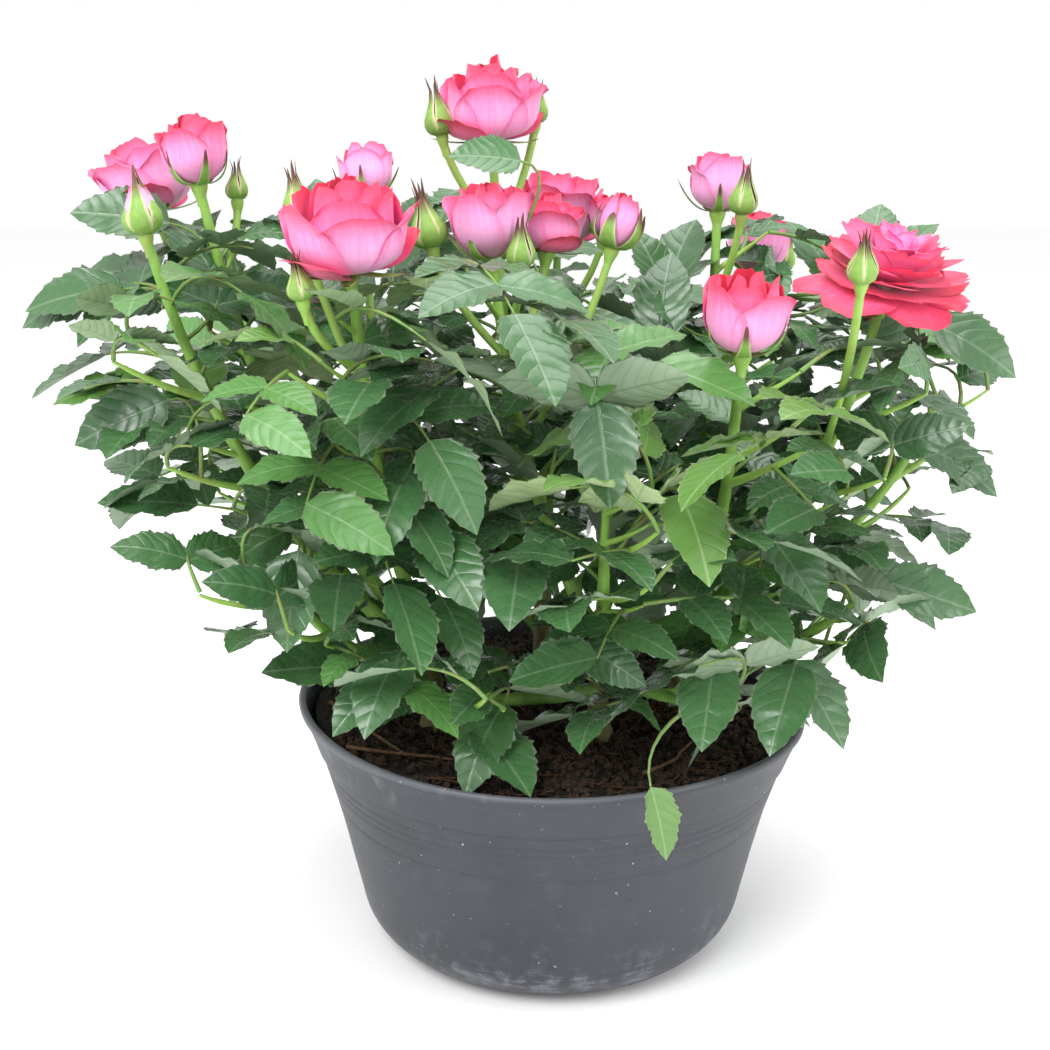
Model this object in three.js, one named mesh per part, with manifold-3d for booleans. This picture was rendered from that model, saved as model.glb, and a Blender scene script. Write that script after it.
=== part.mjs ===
// A potted patio rose: four short woody stems in a soft plastic bowl pot of soil, the canes that fork
// from them, and the leafy masses with their blooms and buds that the canes carry.
// Millimetres, +Z up. The origin is the centre of the pot's flat underside, and -Y is the front.
import * as THREE from "three";
import { mergeVertices } from "three/addons/utils/BufferGeometryUtils.js";
import Module from "manifold-3d";

const wasm = await Module();
wasm.setup();

const gap = 0.3; // left between pieces that touch
const sunk = 0.4; // how far past the middle of its stalk a leaflet is rooted
const sliver = 0.02; // edges shorter than this are closed up

// The pot: a bowl with a rounded foot, a straight wall, and a flared collar with a rolled lip.
const pot = {
  height: 124,
  footRadius: 100,
  footCorner: 26,
  footTurn: 75, // degrees of the rounding before the wall goes on straight
  collarRadius: 116.7,
  collarHeight: 101,
  collarStep: 1.4,
  rimRadius: 125,
  wall: 2.2,
  floor: 3,
  sides: 28,
};
// The soft rim is a little wider than deep, and its sides are pressed out of level.
const warp = { from: 60, wider: 0.01, narrower: 0.012, out: 3, lift: 5 };
const soil = { top: 116, level: 85, edgeDrop: 1, clear: 0.6 };

// Each woody stem: where it stands, how far its tip leans, and its height over the soil.
const stems = {
  left: { at: [-59, -22], lean: [-5, -3], height: 52 },
  front: { at: [22, -35], lean: [1, -6], height: 50 },
  right: { at: [66, 4], lean: [6, -3], height: 52 },
  back: { at: [-4, 48], lean: [0, 6], height: 54 },
};
const stem = { footRadius: 5.4, tipRadius: 4.6, flare: 2.6, flareHeight: 0.3, sides: 8 };

// A cane leaves its stem, leans out early and then rises: the bend is this far along it.
const cane = { out: 0.75, up: 0.35, radius: 3.9, tipRadius: 2.1, bare: 0.36, sides: 5 };
// Side twigs of a mass: where they leave its cane, and how they rise from it.
const twig = { shares: [0.5, 0.7], length: 62, rise: 52, radius: 1.9, seek: 8 };

// Leaves: a leaflet's length and shape, and how a leaf of three or five leaflets is laid out.
const leaf = {
  length: 42,
  width: 0.67, // of the length
  widest: 0.42,
  thick: 0.03,
  stalk: 1.45, // stalk and rib together, in leaflet lengths
  shortStalk: 0.9, // the same on a leaf of three
  stalkRadius: 1.05,
  rise: 50, // degrees between the cane and the young stalk
  pairs: [0.34, 0.69], // where the side leaflets stand on the stalk
  stagger: 0.015, // and how far a pair is out of step
  pairSize: [0.72, 0.86],
  spread: 70,
  spacing: 25, // between leaves along a cane
  turn: 137.5,
  seek: [0, 40, -40, 80, -80, 120, -120, 160, -160], // a leaf may turn this far to find room
  flatter: 0.35, // or droop this much less
  outward: 1.6, // how strongly it would rather face out of the plant, in leaflets
  fewest: 3, // leaflets that are worth a stalk
  apart: 23, // least distance between leaflet middles
};

// The crown that the leaves stay in: an egg, fuller above, that leans a little to the left.
const crown = { middle: [-16, 8], radius: [238, 182], lean: 0.12, widestAt: 300, below: 215, above: 86 };

// Canes, each stem's in order from the lowest fork up. tip is where the main bloom sits, as azimuth (0 is +X, 90 is the back), reach from the
// pot's axis and height. heads are blooms and buds: kind, width, and offset from the tip.
const canes = [
  { name: "low_left", stem: "left", tip: [207, 150, 222], heads: [] },
  { name: "back_outer_left", stem: "left", tip: [158, 180, 285], heads: [] },
  { name: "left_outer", stem: "left", tip: [195, 187, 360], heads: [["bud", 17, 0, 0, 0]] },
  {
    name: "left",
    stem: "left",
    tip: [183, 165, 380],
    heads: [["goblet", 29, 0, 0, 0], ["cup", 41, -29, 32, -14], ["bud", 10, 13, 22, -8]],
  },
  {
    name: "front_left",
    stem: "left",
    tip: [224.5, 121, 347],
    heads: [["cup", 47, 0, 0, 0], ["goblet", 23, 0, 65, 27], ["bud", 13, -23, 18, 20], ["bud", 10.5, -18, -17, -10]],
  },
  { name: "low_front_left", stem: "front", tip: [240, 104, 160], heads: [] },
  { name: "low_front_right", stem: "front", tip: [303, 118, 160], heads: [] },
  { name: "front", stem: "front", tip: [281, 106, 262], heads: [] },
  {
    name: "middle",
    stem: "front",
    tip: [228, 43, 348],
    heads: [
      ["goblet", 33, 0, 0, 0],
      ["goblet", 20, 55, 8, 4],
      ["cup", 31, 25, 20, 2],
      ["bud", 12, 13, -21, -2],
      ["bud", 16, -27, 0, 5],
    ],
  },
  { name: "low_right", stem: "right", tip: [338, 160, 205], heads: [] },
  { name: "front_right", stem: "right", tip: [310, 120, 314], heads: [["goblet", 33, 0, 0, 0]] },
  { name: "right_outer", stem: "right", tip: [357, 190, 290], heads: [] },
  { name: "low_back_right", stem: "right", tip: [38, 160, 225], heads: [] },
  {
    name: "right",
    stem: "right",
    tip: [343, 153, 333],
    heads: [["open", 77, 0, 0, 0], ["bud", 12, -23, -54, 11]],
  },
  {
    name: "right_back",
    stem: "right",
    tip: [20, 86, 366],
    heads: [["goblet", 27, 0, 0, 0], ["bud", 13, 8, -26, 0]],
  },
  {
    name: "back_left",
    stem: "back",
    tip: [138, 148, 332],
    heads: [["cup", 43, 0, 0, 0], ["bud", 12, -22, 8, 6]],
  },
  {
    name: "back_right",
    stem: "back",
    tip: [42, 150, 330],
    heads: [["goblet", 32, 0, 0, 0], ["bud", 12, 18, 16, 0]],
  },
  {
    name: "high",
    stem: "back",
    tip: [135, 42, 400],
    heads: [["cup", 44, 0, 0, 0], ["bud", 14, -24, -8, 2], ["bud", 11, 21, 18, 8]],
  },
  { name: "low_back", stem: "back", tip: [100, 140, 225], heads: [] },
  {
    name: "back",
    stem: "back",
    tip: [88, 128, 344],
    heads: [["cup", 46, 0, 0, 0], ["goblet", 22, 25, -14, 4]],
  },
];

const deg = Math.PI / 180;
const vec = (x, y, z) => new THREE.Vector3(x, y, z);

// The same numbers each time, from a seed of its own for each cane.
function seeded(seed) {
  let state = seed * 7919 + 12345;
  return () => {
    state = (1664525 * state + 1013904223) % 4294967296;
    return state / 4294967296;
  };
}

function solid(geometry) {
  geometry.deleteAttribute("normal");
  geometry.deleteAttribute("uv");
  const merged = mergeVertices(geometry, 1e-4);
  return new wasm.Manifold(
    new wasm.Mesh({
      numProp: 3,
      vertProperties: merged.attributes.position.array,
      triVerts: new Uint32Array(merged.index.array),
    }),
  );
}

// Moves each vertex of a geometry to where place(x, y, z) says.
function reshape(geometry, place) {
  const at = geometry.attributes.position;
  for (let i = 0; i < at.count; i++) {
    const p = place(at.getX(i), at.getY(i), at.getZ(i));
    at.setXYZ(i, p.x, p.y, p.z);
  }
  return geometry;
}

// A cylinder bent along a quadratic curve, its radius given by a function of the share of the way along.
function limb(curve, radiusAt, sides, steps) {
  const { v0, v1, v2 } = curve;
  const level = v1.clone().sub(v0).cross(v2.clone().sub(v1)).normalize(); // square to the bend
  const straight = new THREE.CylinderGeometry(1, 1, steps, sides, steps);
  return solid(
    reshape(straight, (x, y, z) => {
      const share = Math.round(y + steps / 2) / steps;
      const side = level.clone().cross(bezierSlope(curve, share).normalize());
      const radius = radiusAt(share);
      return curve.getPoint(share).addScaledVector(side, z * radius).addScaledVector(level, x * radius);
    }),
  );
}

// The point a share of the way along a limb, whose steps are straight.
function onLimb(curve, steps, share) {
  const step = Math.min(steps - 1, Math.floor(share * steps));
  return curve.getPoint(step / steps).lerp(curve.getPoint((step + 1) / steps), share * steps - step);
}

// Joins solids into one, clears its smallest slivers, and keeps its largest body.
function fuse(solids) {
  const bodies = wasm.Manifold.union(solids).simplify(sliver).decompose();
  return bodies.reduce((most, body) => (body.volume() > most.volume() ? body : most));
}

// ---- the pot and its soil ----

function warped(x, y, z) {
  const radius = Math.hypot(x, y);
  const share = THREE.MathUtils.smoothstep(z, warp.from, pot.height);
  const side = radius > soil.level + 1 ? (x / radius) ** 3 * share : 0;
  return vec(x * (1 + warp.wider * share) + warp.out * side, y * (1 - warp.narrower * share), z - warp.lift * side);
}

// The pot's outline from the foot to the lip, moved in by inset.
function potOutline(inset) {
  const corner = pot.footCorner - inset;
  const points = [];
  for (let turn = 0; turn <= pot.footTurn; turn += inset ? 37.5 : 25) {
    const x = pot.footRadius - pot.footCorner + corner * Math.sin(turn * deg);
    points.push([x, pot.footCorner - corner * Math.cos(turn * deg)]);
  }
  points.push([pot.collarRadius - inset, pot.collarHeight]);
  points.push([pot.collarRadius + pot.collarStep - inset, pot.collarHeight + pot.collarStep]);
  points.push([pot.rimRadius - 1.2 - inset, pot.height - 4.5]);
  return points;
}

function turned(points) {
  const lathe = new THREE.LatheGeometry(points.map(([x, y]) => new THREE.Vector2(x, y)), pot.sides);
  return solid(reshape(lathe.rotateX(Math.PI / 2), warped));
}

function makePot() {
  const inside = potOutline(pot.wall).map(([x, y]) => [x, Math.max(y, pot.floor)]);
  return turned([
    [0, 0],
    ...potOutline(0),
    [pot.rimRadius, pot.height - 1.8],
    [pot.rimRadius - 1, pot.height],
    [pot.rimRadius - pot.wall - 0.8, pot.height],
    ...inside.reverse(),
    [0, pot.floor],
  ]);
}

function makeSoil() {
  const inset = pot.wall + soil.clear;
  const side = potOutline(inset).filter(([, y]) => y < soil.top - 4);
  const edge = pot.rimRadius - 5 - inset;
  return turned([
    [0, pot.floor + gap],
    ...side.map(([x, y]) => [x, Math.max(y, pot.floor + gap)]),
    [edge, soil.top - soil.edgeDrop],
    [soil.level, soil.top],
    [0, soil.top],
  ]);
}

// ---- stems and canes ----

function stemCurve({ at: [x, y], lean: [dx, dy], height }) {
  const foot = vec(x, y, soil.top + gap);
  const knee = vec(x, y, foot.z + height * 0.5);
  return new THREE.QuadraticBezierCurve3(foot, knee, vec(x + dx, y + dy, foot.z + height));
}

function makeStem(curve, grown) {
  const radiusAt = (share) => {
    const flare = stem.flare * Math.max(0, 1 - share / stem.flareHeight) ** 2;
    return THREE.MathUtils.lerp(stem.footRadius, stem.tipRadius, share) + flare + grown;
  };
  // The foot is cut flat and level, since the curve starts straight up.
  const end = curve.clone();
  end.v2.z += grown;
  return limb(end, radiusAt, stem.sides, 4);
}

function tipOf({ tip: [azimuth, reach, height] }) {
  return vec(reach * Math.cos(azimuth * deg), reach * Math.sin(azimuth * deg), height);
}

// From a point on its stem, each of a stem's canes a little above the last, to its tip.
function caneCurve(spec) {
  const tip = tipOf(spec);
  const sisters = canes.filter((other) => other.stem === spec.stem);
  const rank = (sisters.indexOf(spec) + 1) / sisters.length;
  const start = stemCurve(stems[spec.stem]).getPoint(0.3 + 0.7 * rank);
  const bend = start.clone().lerp(tip, cane.out);
  bend.z = THREE.MathUtils.lerp(start.z, tip.z, cane.up);
  return new THREE.QuadraticBezierCurve3(start, bend, tip);
}

// The stretch of a quadratic curve between two shares of the way along it.
function stretch(curve, from, to) {
  const start = curve.getPoint(from);
  const end = curve.getPoint(to);
  const bend = start.clone().addScaledVector(bezierSlope(curve, from), (to - from) / 2);
  return new THREE.QuadraticBezierCurve3(start, bend, end);
}

function bezierSlope({ v0, v1, v2 }, t) {
  return v1.clone().sub(v0).multiplyScalar(2 * (1 - t)).addScaledVector(v2.clone().sub(v1), 2 * t);
}

const caneRadius = (share) => THREE.MathUtils.lerp(cane.radius, cane.tipRadius, share);

// The bare foot of a cane, up to where its foliage starts.
function makeCane(curve, grown) {
  const radiusAt = (share) => caneRadius(share * cane.bare) + grown;
  return limb(stretch(curve, 0, cane.bare), radiusAt, cane.sides, 3);
}

// ---- blooms and buds, standing on the origin, up +Z, one unit wide ----

// Each form: outline from the stalk up, as [half width, height], and how many lobes its edge has.
const forms = {
  bud: { outline: [[0.2, -0.4], [0.24, 0], [0.5, 0.4], [0.12, 1.5]], lobes: 2.5 },
  goblet: { outline: [[0.1, -0.3], [0.16, 0], [0.5, 0.45], [0.42, 0.95], [0.16, 1.1]], lobes: 3 },
  cup: { outline: [[0.06, -0.2], [0.12, 0], [0.5, 0.38], [0.44, 0.66], [0.2, 0.82]], lobes: 4 },
  open: { outline: [[0.04, -0.12], [0.1, 0], [0.5, 0.17], [0.34, 0.38], [0.16, 0.46]], lobes: 5 },
};
const lobeDepth = 0.07;

// A turned body whose widest rings wave in and out as petals do.
function makeHead(kind, width, at, up) {
  const { outline, lobes } = forms[kind];
  const points = [[0, outline[0][1]], ...outline, [0, outline.at(-1)[1]]];
  const lathe = new THREE.LatheGeometry(points.map(([x, y]) => new THREE.Vector2(x, y)), lobes * 2);
  const turn = new THREE.Quaternion().setFromUnitVectors(vec(0, 1, 0), up);
  return solid(
    reshape(lathe, (x, y, z) => {
      const radius = Math.hypot(x, z);
      const wave = radius > 0.3 ? 1 + lobeDepth * Math.cos(lobes * Math.atan2(z, x)) : 1;
      return vec(x * wave * width, y * width, z * wave * width).applyQuaternion(turn).add(at);
    }),
  );
}

// ---- leaves ----

const leafSides = [vec(1, 0, 0), vec(-1, 0, 0), vec(0, 1, 0), vec(0, -1, 0), vec(0, 0, 1), vec(0, 0, -1)];

// A leaflet is an octahedron drawn out along its rib: root, tip, two sides, and a thick middle.
function leafletPoint(corner, { root, along, normal, length }) {
  const across = normal.clone().cross(along);
  const share = corner.x > 0.5 ? 1 : corner.x < -0.5 ? -sunk / length : leaf.widest;
  return root
    .clone()
    .addScaledVector(along, share * length)
    .addScaledVector(across, (corner.y * leaf.width * length) / 2)
    .addScaledVector(normal, (corner.z * leaf.thick * length) / 2);
}

function makeLeaflet(spec) {
  const shape = new THREE.OctahedronGeometry(1);
  return solid(reshape(shape, (x, y, z) => leafletPoint(vec(x, y, z), spec)));
}

// Points that stand for a leaflet when room is looked for: its corners and the middles of its edges.
function leafletProbe(spec) {
  const corners = leafSides.slice(0, 4).map((corner) => leafletPoint(corner, spec));
  const [tip, root, side, otherSide] = corners;
  const halves = [[tip, side], [tip, otherSide], [root, side], [root, otherSide]];
  return [...corners, ...halves.map(([a, b]) => a.clone().lerp(b, 0.5))];
}

// One compound leaf: a stalk that leaves the cane steeply and arches over, and its leaflets.
function layLeaf(axil, slope, azimuth, size, droop, roll, pairs) {
  const level = vec(Math.cos(azimuth), Math.sin(azimuth), 0);
  const out = level.clone().addScaledVector(slope, -level.dot(slope)).normalize();
  const young = out.multiplyScalar(Math.sin(leaf.rise * deg)).addScaledVector(slope, Math.cos(leaf.rise * deg));
  const old = level.clone().multiplyScalar(Math.cos(droop)).add(vec(0, 0, -Math.sin(droop)));
  const half = (size * (pairs > 1 ? leaf.stalk : leaf.shortStalk)) / 2;
  const knee = axil.clone().addScaledVector(young, half);
  const stalk = new THREE.QuadraticBezierCurve3(axil, knee, knee.clone().addScaledVector(old, half));
  const leaflets = [];
  const place = (share, side, scale) => {
    const rib = bezierSlope(stalk, share).normalize();
    const root = onLimb(stalk, 2, share);
    const flat = vec(0, 0, 1).addScaledVector(rib, -rib.z).normalize();
    const across = flat.clone().cross(rib);
    const normal = flat.multiplyScalar(Math.cos(roll)).addScaledVector(across, Math.sin(roll));
    const beside = normal.clone().cross(rib);
    const spread = side * leaf.spread * deg;
    const along = rib.clone().multiplyScalar(Math.cos(spread)).addScaledVector(beside, Math.sin(spread));
    leaflets.push({ root, along, normal, length: size * scale });
  };
  for (let i = leaf.pairs.length - pairs; i < leaf.pairs.length; i++) {
    place(leaf.pairs[i] + leaf.stagger, 1, leaf.pairSize[i]);
    place(leaf.pairs[i] - leaf.stagger, -1, leaf.pairSize[i]);
  }
  place(1, 0, 1);
  return { stalk, leaflets };
}

// ---- the space of each mass ----

// Distance from a point to a line of points.
function distanceTo(line, p) {
  let best = Infinity;
  for (let i = 0; i + 1 < line.length; i++) {
    const part = new THREE.Line3(line[i], line[i + 1]);
    best = Math.min(best, part.closestPointToPoint(p, true, vec(0, 0, 0)).distanceTo(p));
  }
  return best;
}

function inCrown({ x, y, z }) {
  const above = z - crown.widestAt;
  const high = above / (above > 0 ? crown.above : crown.below);
  const dx = (x - crown.middle[0] + crown.lean * above) / crown.radius[0];
  const dy = (y - crown.middle[1]) / crown.radius[1];
  return dx * dx + dy * dy + high * high < 1;
}

// Clear of the pot and the soil, whether over the rim or hanging outside it.
function clearOfPot({ x, y, z }) {
  const overRim = z > pot.height + warp.lift + 3;
  const outside = Math.hypot(x, y) > pot.rimRadius + 8;
  const overSoil = z > soil.top + 5 && Math.hypot(x, y) < pot.rimRadius - 14;
  return overRim || outside || overSoil;
}

const spaces = canes.map((spec) => {
  const curve = caneCurve(spec);
  return { spec, curve, axis: stretch(curve, cane.bare, 1).getPoints(6), limb: stretch(curve, 0, cane.bare).getPoints(4) };
});
const stemLines = Object.values(stems).map((spec) => stemCurve(spec).getPoints(3));
const margin = 1.2; // by which a point is nearer to its own mass's stem than to any other

function inSpace(own, p) {
  const reach = distanceTo(own.axis, p) + margin;
  return spaces.every((other) => other === own || distanceTo(other.axis, p) > reach);
}

function clearOfLimbs(own, p) {
  const clear = cane.radius + 1.5;
  const ownLimb = distanceTo(own.limb, p) > cane.radius + 0.6;
  const others = spaces.every((other) => other === own || distanceTo(other.limb, p) > clear);
  return ownLimb && others && stemLines.every((line) => distanceTo(line, p) > stem.footRadius + stem.flare + 1);
}

const fits = (own, p) => inCrown(p) && clearOfPot(p) && inSpace(own, p) && clearOfLimbs(own, p);

// ---- a mass: its stem, its side twigs with blooms, and its leaves, fused ----

// What the crown holds so far: leaflets, the straight runs of canes, twigs and stalks, and blooms.
const laid = { leaflets: [], runs: [], heads: [] };

function layRuns(points, radius) {
  points.slice(1).forEach((end, i) => laid.runs.push({ line: [points[i], end], radius }));
}

// Clear by a little of every straight run so far.
function clearOfRuns(p, radius) {
  return laid.runs.every((run) => distanceTo(run.line, p) > run.radius + radius + 0.7);
}

function meets([from, to], [a, b, c]) {
  const way = to.clone().sub(from);
  const hit = new THREE.Ray(from, way.clone().normalize()).intersectTriangle(a, b, c, false, vec(0, 0, 0));
  return hit !== null && hit.distanceTo(from) <= way.length();
}

// A leaflet's outline as two triangles and four edges.
function flatOf(leaflet) {
  const [tip, root, side, otherSide] = leafSides.slice(0, 4).map((corner) => leafletPoint(corner, leaflet));
  const middle = tip.clone().lerp(root, 0.5);
  return {
    middle,
    faces: [[root, side, otherSide], [tip, side, otherSide]],
    edges: [[root, side], [side, tip], [tip, otherSide], [otherSide, root]],
  };
}

const cuts = (edges, faces) => edges.some((edge) => faces.some((face) => meets(edge, face)));

function roomFor(own, leaflet) {
  if (!leafletProbe(leaflet).every((p) => fits(own, p))) return null;
  const flat = flatOf(leaflet);
  const near = laid.leaflets.filter((other) => other.middle.distanceTo(flat.middle) < leaf.length);
  const crowded = near.some((other) => other.middle.distanceTo(flat.middle) < leaf.apart);
  const onRun = [...leafletProbe(leaflet), flat.middle].some((p) => p !== leaflet.root && !clearOfRuns(p, 0));
  const through = near.some((other) => cuts(flat.edges, other.faces) || cuts(other.edges, flat.faces));
  const inHead = laid.heads.some(({ at, radius }) => at.distanceTo(flat.middle) < radius + leaf.length / 3);
  const crossed = cuts(laid.runs.map((run) => run.line), flat.faces);
  return crowded || onRun || through || inHead || crossed ? null : flat;
}

// The way out of the plant, level, from a point in it.
const outOf = (p) => Math.atan2(p.y - crown.middle[1], p.x - crown.middle[0]);

// Every way that a leaf may be laid: its turn, how much of its droop it keeps, and its side pairs.
const tries = leaf.seek.flatMap((turn) => [1, leaf.flatter].flatMap((flat) => [[turn, flat, 2], [turn, flat, 1]]));

// The leaves along a cane or twig, each turned to the side where most of its leaflets have room.
function layLeaves(own, curve, steps, first, last, draw) {
  const length = curve.getLength();
  const count = Math.max(1, Math.floor((last - first) / leaf.spacing));
  const start = draw() * 360;
  const leaves = [];
  for (let i = 0; i < count; i++) {
    const share = Math.min(1, (first + (i + 0.5) * leaf.spacing) / length);
    const axil = onLimb(curve, steps, share);
    const slope = bezierSlope(curve, share).normalize();
    const azimuth = (start + i * leaf.turn) * deg;
    const size = leaf.length * (0.8 + 0.3 * draw());
    const droop = (44 - 26 * (axil.z / 360) ** 2 + 34 * draw()) * deg;
    const roll = (draw() - 0.5) * 44 * deg;
    let best = { worth: 0 };
    for (const [seek, flatter, pairs] of tries) {
      const facing = azimuth + seek * deg;
      const { stalk, leaflets } = layLeaf(axil, slope, facing, size, droop * flatter, roll, pairs);
      const [first, bend, end] = stalk.getPoints(2);
      if (!stalk.getPoints(4).slice(1).every((p) => fits(own, p) && clearOfRuns(p, leaf.stalkRadius))) continue;
      if (laid.leaflets.some(({ faces }) => cuts([[first, bend], [bend, end]], faces))) continue;
      const placed = leaflets.map((leaflet) => ({ leaflet, flat: roomFor(own, leaflet) })).filter(({ flat }) => flat);
      const worth = placed.length + leaf.outward * Math.cos(facing - outOf(axil));
      if (placed.length >= leaf.fewest && worth > best.worth) best = { worth, stalk, placed };
    }
    if (!best.stalk) continue;
    leaves.push({ stalk: best.stalk, leaflets: best.placed.map(({ leaflet }) => leaflet) });
    laid.leaflets.push(...best.placed.map(({ flat }) => flat));
    layRuns(best.stalk.getPoints(2), leaf.stalkRadius);
  }
  return leaves;
}

// A side twig of a cane, turned to where it has most room, or nothing where it has none.
function layTwig(own, share, azimuth, length) {
  const from = own.curve.getPoint(share);
  const slope = bezierSlope(own.curve, share).normalize();
  const rise = twig.rise * deg;
  let best = null;
  for (let i = 0; i < twig.seek; i++) {
    const facing = azimuth + (i * 360 * deg) / twig.seek;
    const level = vec(Math.cos(facing), Math.sin(facing), 0);
    const out = level.clone().addScaledVector(slope, -level.dot(slope)).normalize();
    const young = out.multiplyScalar(Math.sin(rise)).addScaledVector(slope, Math.cos(rise));
    const old = level.multiplyScalar(Math.sin(rise)).add(vec(0, 0, Math.cos(rise)));
    const knee = from.clone().addScaledVector(young, length / 2);
    const made = new THREE.QuadraticBezierCurve3(from, knee, knee.clone().addScaledVector(old, length / 2));
    if (!made.getPoints(4).slice(1).every((p) => fits(own, p) && clearOfRuns(p, twig.radius))) continue;
    const room = distanceTo(own.axis, made.v2) + 0.4 * length * Math.cos(facing - outOf(from));
    if (!best || room > best.room) best = { made, room };
  }
  return best && best.made;
}

// The blooms of a cane: the first on its tip, the others on stalks that fork below it.
function layHeads({ spec, curve }) {
  const up = bezierSlope(curve, 1).normalize().lerp(vec(0, 0, 1), 0.5).normalize();
  return spec.heads.map(([kind, width, dx, dy, dz]) => {
    const at = curve.v2.clone().add(vec(dx, dy, dz));
    const side = Math.hypot(dx, dy, dz);
    const lean = up.clone().addScaledVector(vec(dx, dy, 0), 0.006).normalize();
    const fork = curve.getPoint(1 - (side * 1.4) / curve.getLength());
    const knee = at.clone().addScaledVector(lean, -side * 0.8);
    return { kind, width, at, lean, stalk: side > 0 && new THREE.QuadraticBezierCurve3(fork, knee, at) };
  });
}

function makeMass(own, seed) {
  const { spec, curve } = own;
  const draw = seeded(seed);
  const length = curve.getLength();
  const start = cane.bare + (gap + 0.1) / length;
  const radiusAt = (share) => caneRadius(start + share * (1 - start));
  const parts = [limb(stretch(curve, start, 1), radiusAt, cane.sides - 1, 4)];
  const heads = layHeads(own);
  for (const { kind, width, at, lean, stalk } of heads) {
    parts.push(makeHead(kind, width, at, lean));
    if (stalk) parts.push(limb(stalk, () => cane.tipRadius * 0.8, 3, 2));
  }
  const turn = draw() * 360;
  const leaves = [];
  for (const [i, share] of twig.shares.entries()) {
    const side = layTwig(own, share, (turn + i * leaf.turn) * deg, twig.length * (0.7 + 0.5 * draw()));
    if (!side) continue;
    parts.push(limb(side, (share) => twig.radius * (1.2 - 0.4 * share), 3, 2));
    layRuns(side.getPoints(2), twig.radius);
    leaves.push(...layLeaves(own, side, 2, 12, side.getLength() + leaf.spacing / 2, draw));
  }
  leaves.push(...layLeaves(own, curve, 8, cane.bare * length + 8, length - (spec.heads.length ? 26 : 0), draw));
  for (const { stalk, leaflets } of leaves) {
    parts.push(limb(stalk, (share) => leaf.stalkRadius * (1.25 - 0.4 * share), 3, 2));
    parts.push(...leaflets.map(makeLeaflet));
  }
  return fuse(parts);
}

// ---- the assembly ----

const finishes = {
  pot: new THREE.MeshStandardMaterial({ color: "#4b4d52", roughness: 0.55 }),
  soil: new THREE.MeshStandardMaterial({ color: "#2a201a", roughness: 0.95 }),
  bark: new THREE.MeshStandardMaterial({ color: "#6f8a3c", roughness: 0.7 }),
  foliage: new THREE.MeshStandardMaterial({ color: "#2f5c36", roughness: 0.5 }),
};
const plant = new THREE.Group();

function add(name, made, material) {
  const { vertProperties, triVerts } = made.getMesh();
  const geometry = new THREE.BufferGeometry();
  geometry.setAttribute("position", new THREE.BufferAttribute(vertProperties, 3));
  geometry.setIndex(new THREE.BufferAttribute(triVerts, 1));
  geometry.computeVertexNormals();
  const mesh = new THREE.Mesh(geometry, material);
  mesh.name = name;
  plant.add(mesh);
}

add("pot", makePot(), finishes.pot);
add("soil", makeSoil(), finishes.soil);
for (const [name, spec] of Object.entries(stems)) {
  add(`stem_${name}`, makeStem(stemCurve(spec), 0), finishes.bark);
  // Each cane is cut clear of its stem and of the canes that fork below it.
  const inTheWay = [makeStem(stemCurve(spec), gap)];
  for (const own of spaces.filter((other) => other.spec.stem === name)) {
    const cut = makeCane(own.curve, 0).subtract(wasm.Manifold.union(inTheWay));
    add(`cane_${own.spec.name}`, fuse([cut]), finishes.bark);
    inTheWay.push(makeCane(own.curve, gap));
  }
}
for (const own of spaces) {
  layRuns(own.curve.getPoints(8), cane.radius);
  for (const { at, width, lean, stalk } of layHeads(own)) {
    laid.heads.push({ at: at.clone().addScaledVector(lean, width * 0.4), radius: width / 2 });
    if (stalk) layRuns(stalk.getPoints(3), cane.tipRadius);
  }
}
spaces.forEach((own, index) => add(`foliage_${own.spec.name}`, makeMass(own, index + 1), finishes.foliage));

export default plant;
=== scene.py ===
import bmesh
import bpy
import numpy as np
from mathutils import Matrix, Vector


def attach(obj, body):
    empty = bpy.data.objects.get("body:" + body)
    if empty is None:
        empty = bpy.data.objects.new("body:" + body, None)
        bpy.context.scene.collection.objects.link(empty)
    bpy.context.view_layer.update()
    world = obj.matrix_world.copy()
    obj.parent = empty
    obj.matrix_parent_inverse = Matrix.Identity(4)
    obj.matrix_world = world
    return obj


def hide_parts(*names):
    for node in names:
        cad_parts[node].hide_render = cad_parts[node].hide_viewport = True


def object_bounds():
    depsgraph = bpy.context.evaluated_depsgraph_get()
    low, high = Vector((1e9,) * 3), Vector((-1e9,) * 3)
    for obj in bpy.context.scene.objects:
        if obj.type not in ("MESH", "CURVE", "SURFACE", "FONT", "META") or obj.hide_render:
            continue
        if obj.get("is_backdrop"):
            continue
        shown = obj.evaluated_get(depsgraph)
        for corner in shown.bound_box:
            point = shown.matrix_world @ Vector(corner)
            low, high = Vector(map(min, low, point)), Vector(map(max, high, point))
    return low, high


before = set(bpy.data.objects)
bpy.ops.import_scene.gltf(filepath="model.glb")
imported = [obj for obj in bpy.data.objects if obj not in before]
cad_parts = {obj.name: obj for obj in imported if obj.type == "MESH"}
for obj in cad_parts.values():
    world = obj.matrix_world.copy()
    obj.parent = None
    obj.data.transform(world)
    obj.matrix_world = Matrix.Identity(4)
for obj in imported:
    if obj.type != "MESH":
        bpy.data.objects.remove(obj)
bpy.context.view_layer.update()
up = np.array([0.0, 0.0, 1.0])
deg = np.pi / 180

# Camera, light and floor
camera = {"at": (-0.0138, -0.675, 0.4), "pitch": 15.45, "lens": 48.0}  # metres, degrees below level
lights = [
    {"name": "keyLight", "at": (-0.7, -1.1, 1.5), "size": 1.1, "power": 22},
    {"name": "topLight", "at": (0.2, 0.1, 1.7), "size": 1.4, "power": 16},
    {"name": "fillLight", "at": (1.3, -0.7, 0.7), "size": 1.2, "power": 7},
]
room = {"sky": (1.0, 1.0, 1.0), "strength": 1.0, "floor": (0.97, 0.97, 0.97), "floorSize": 12.0}


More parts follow.
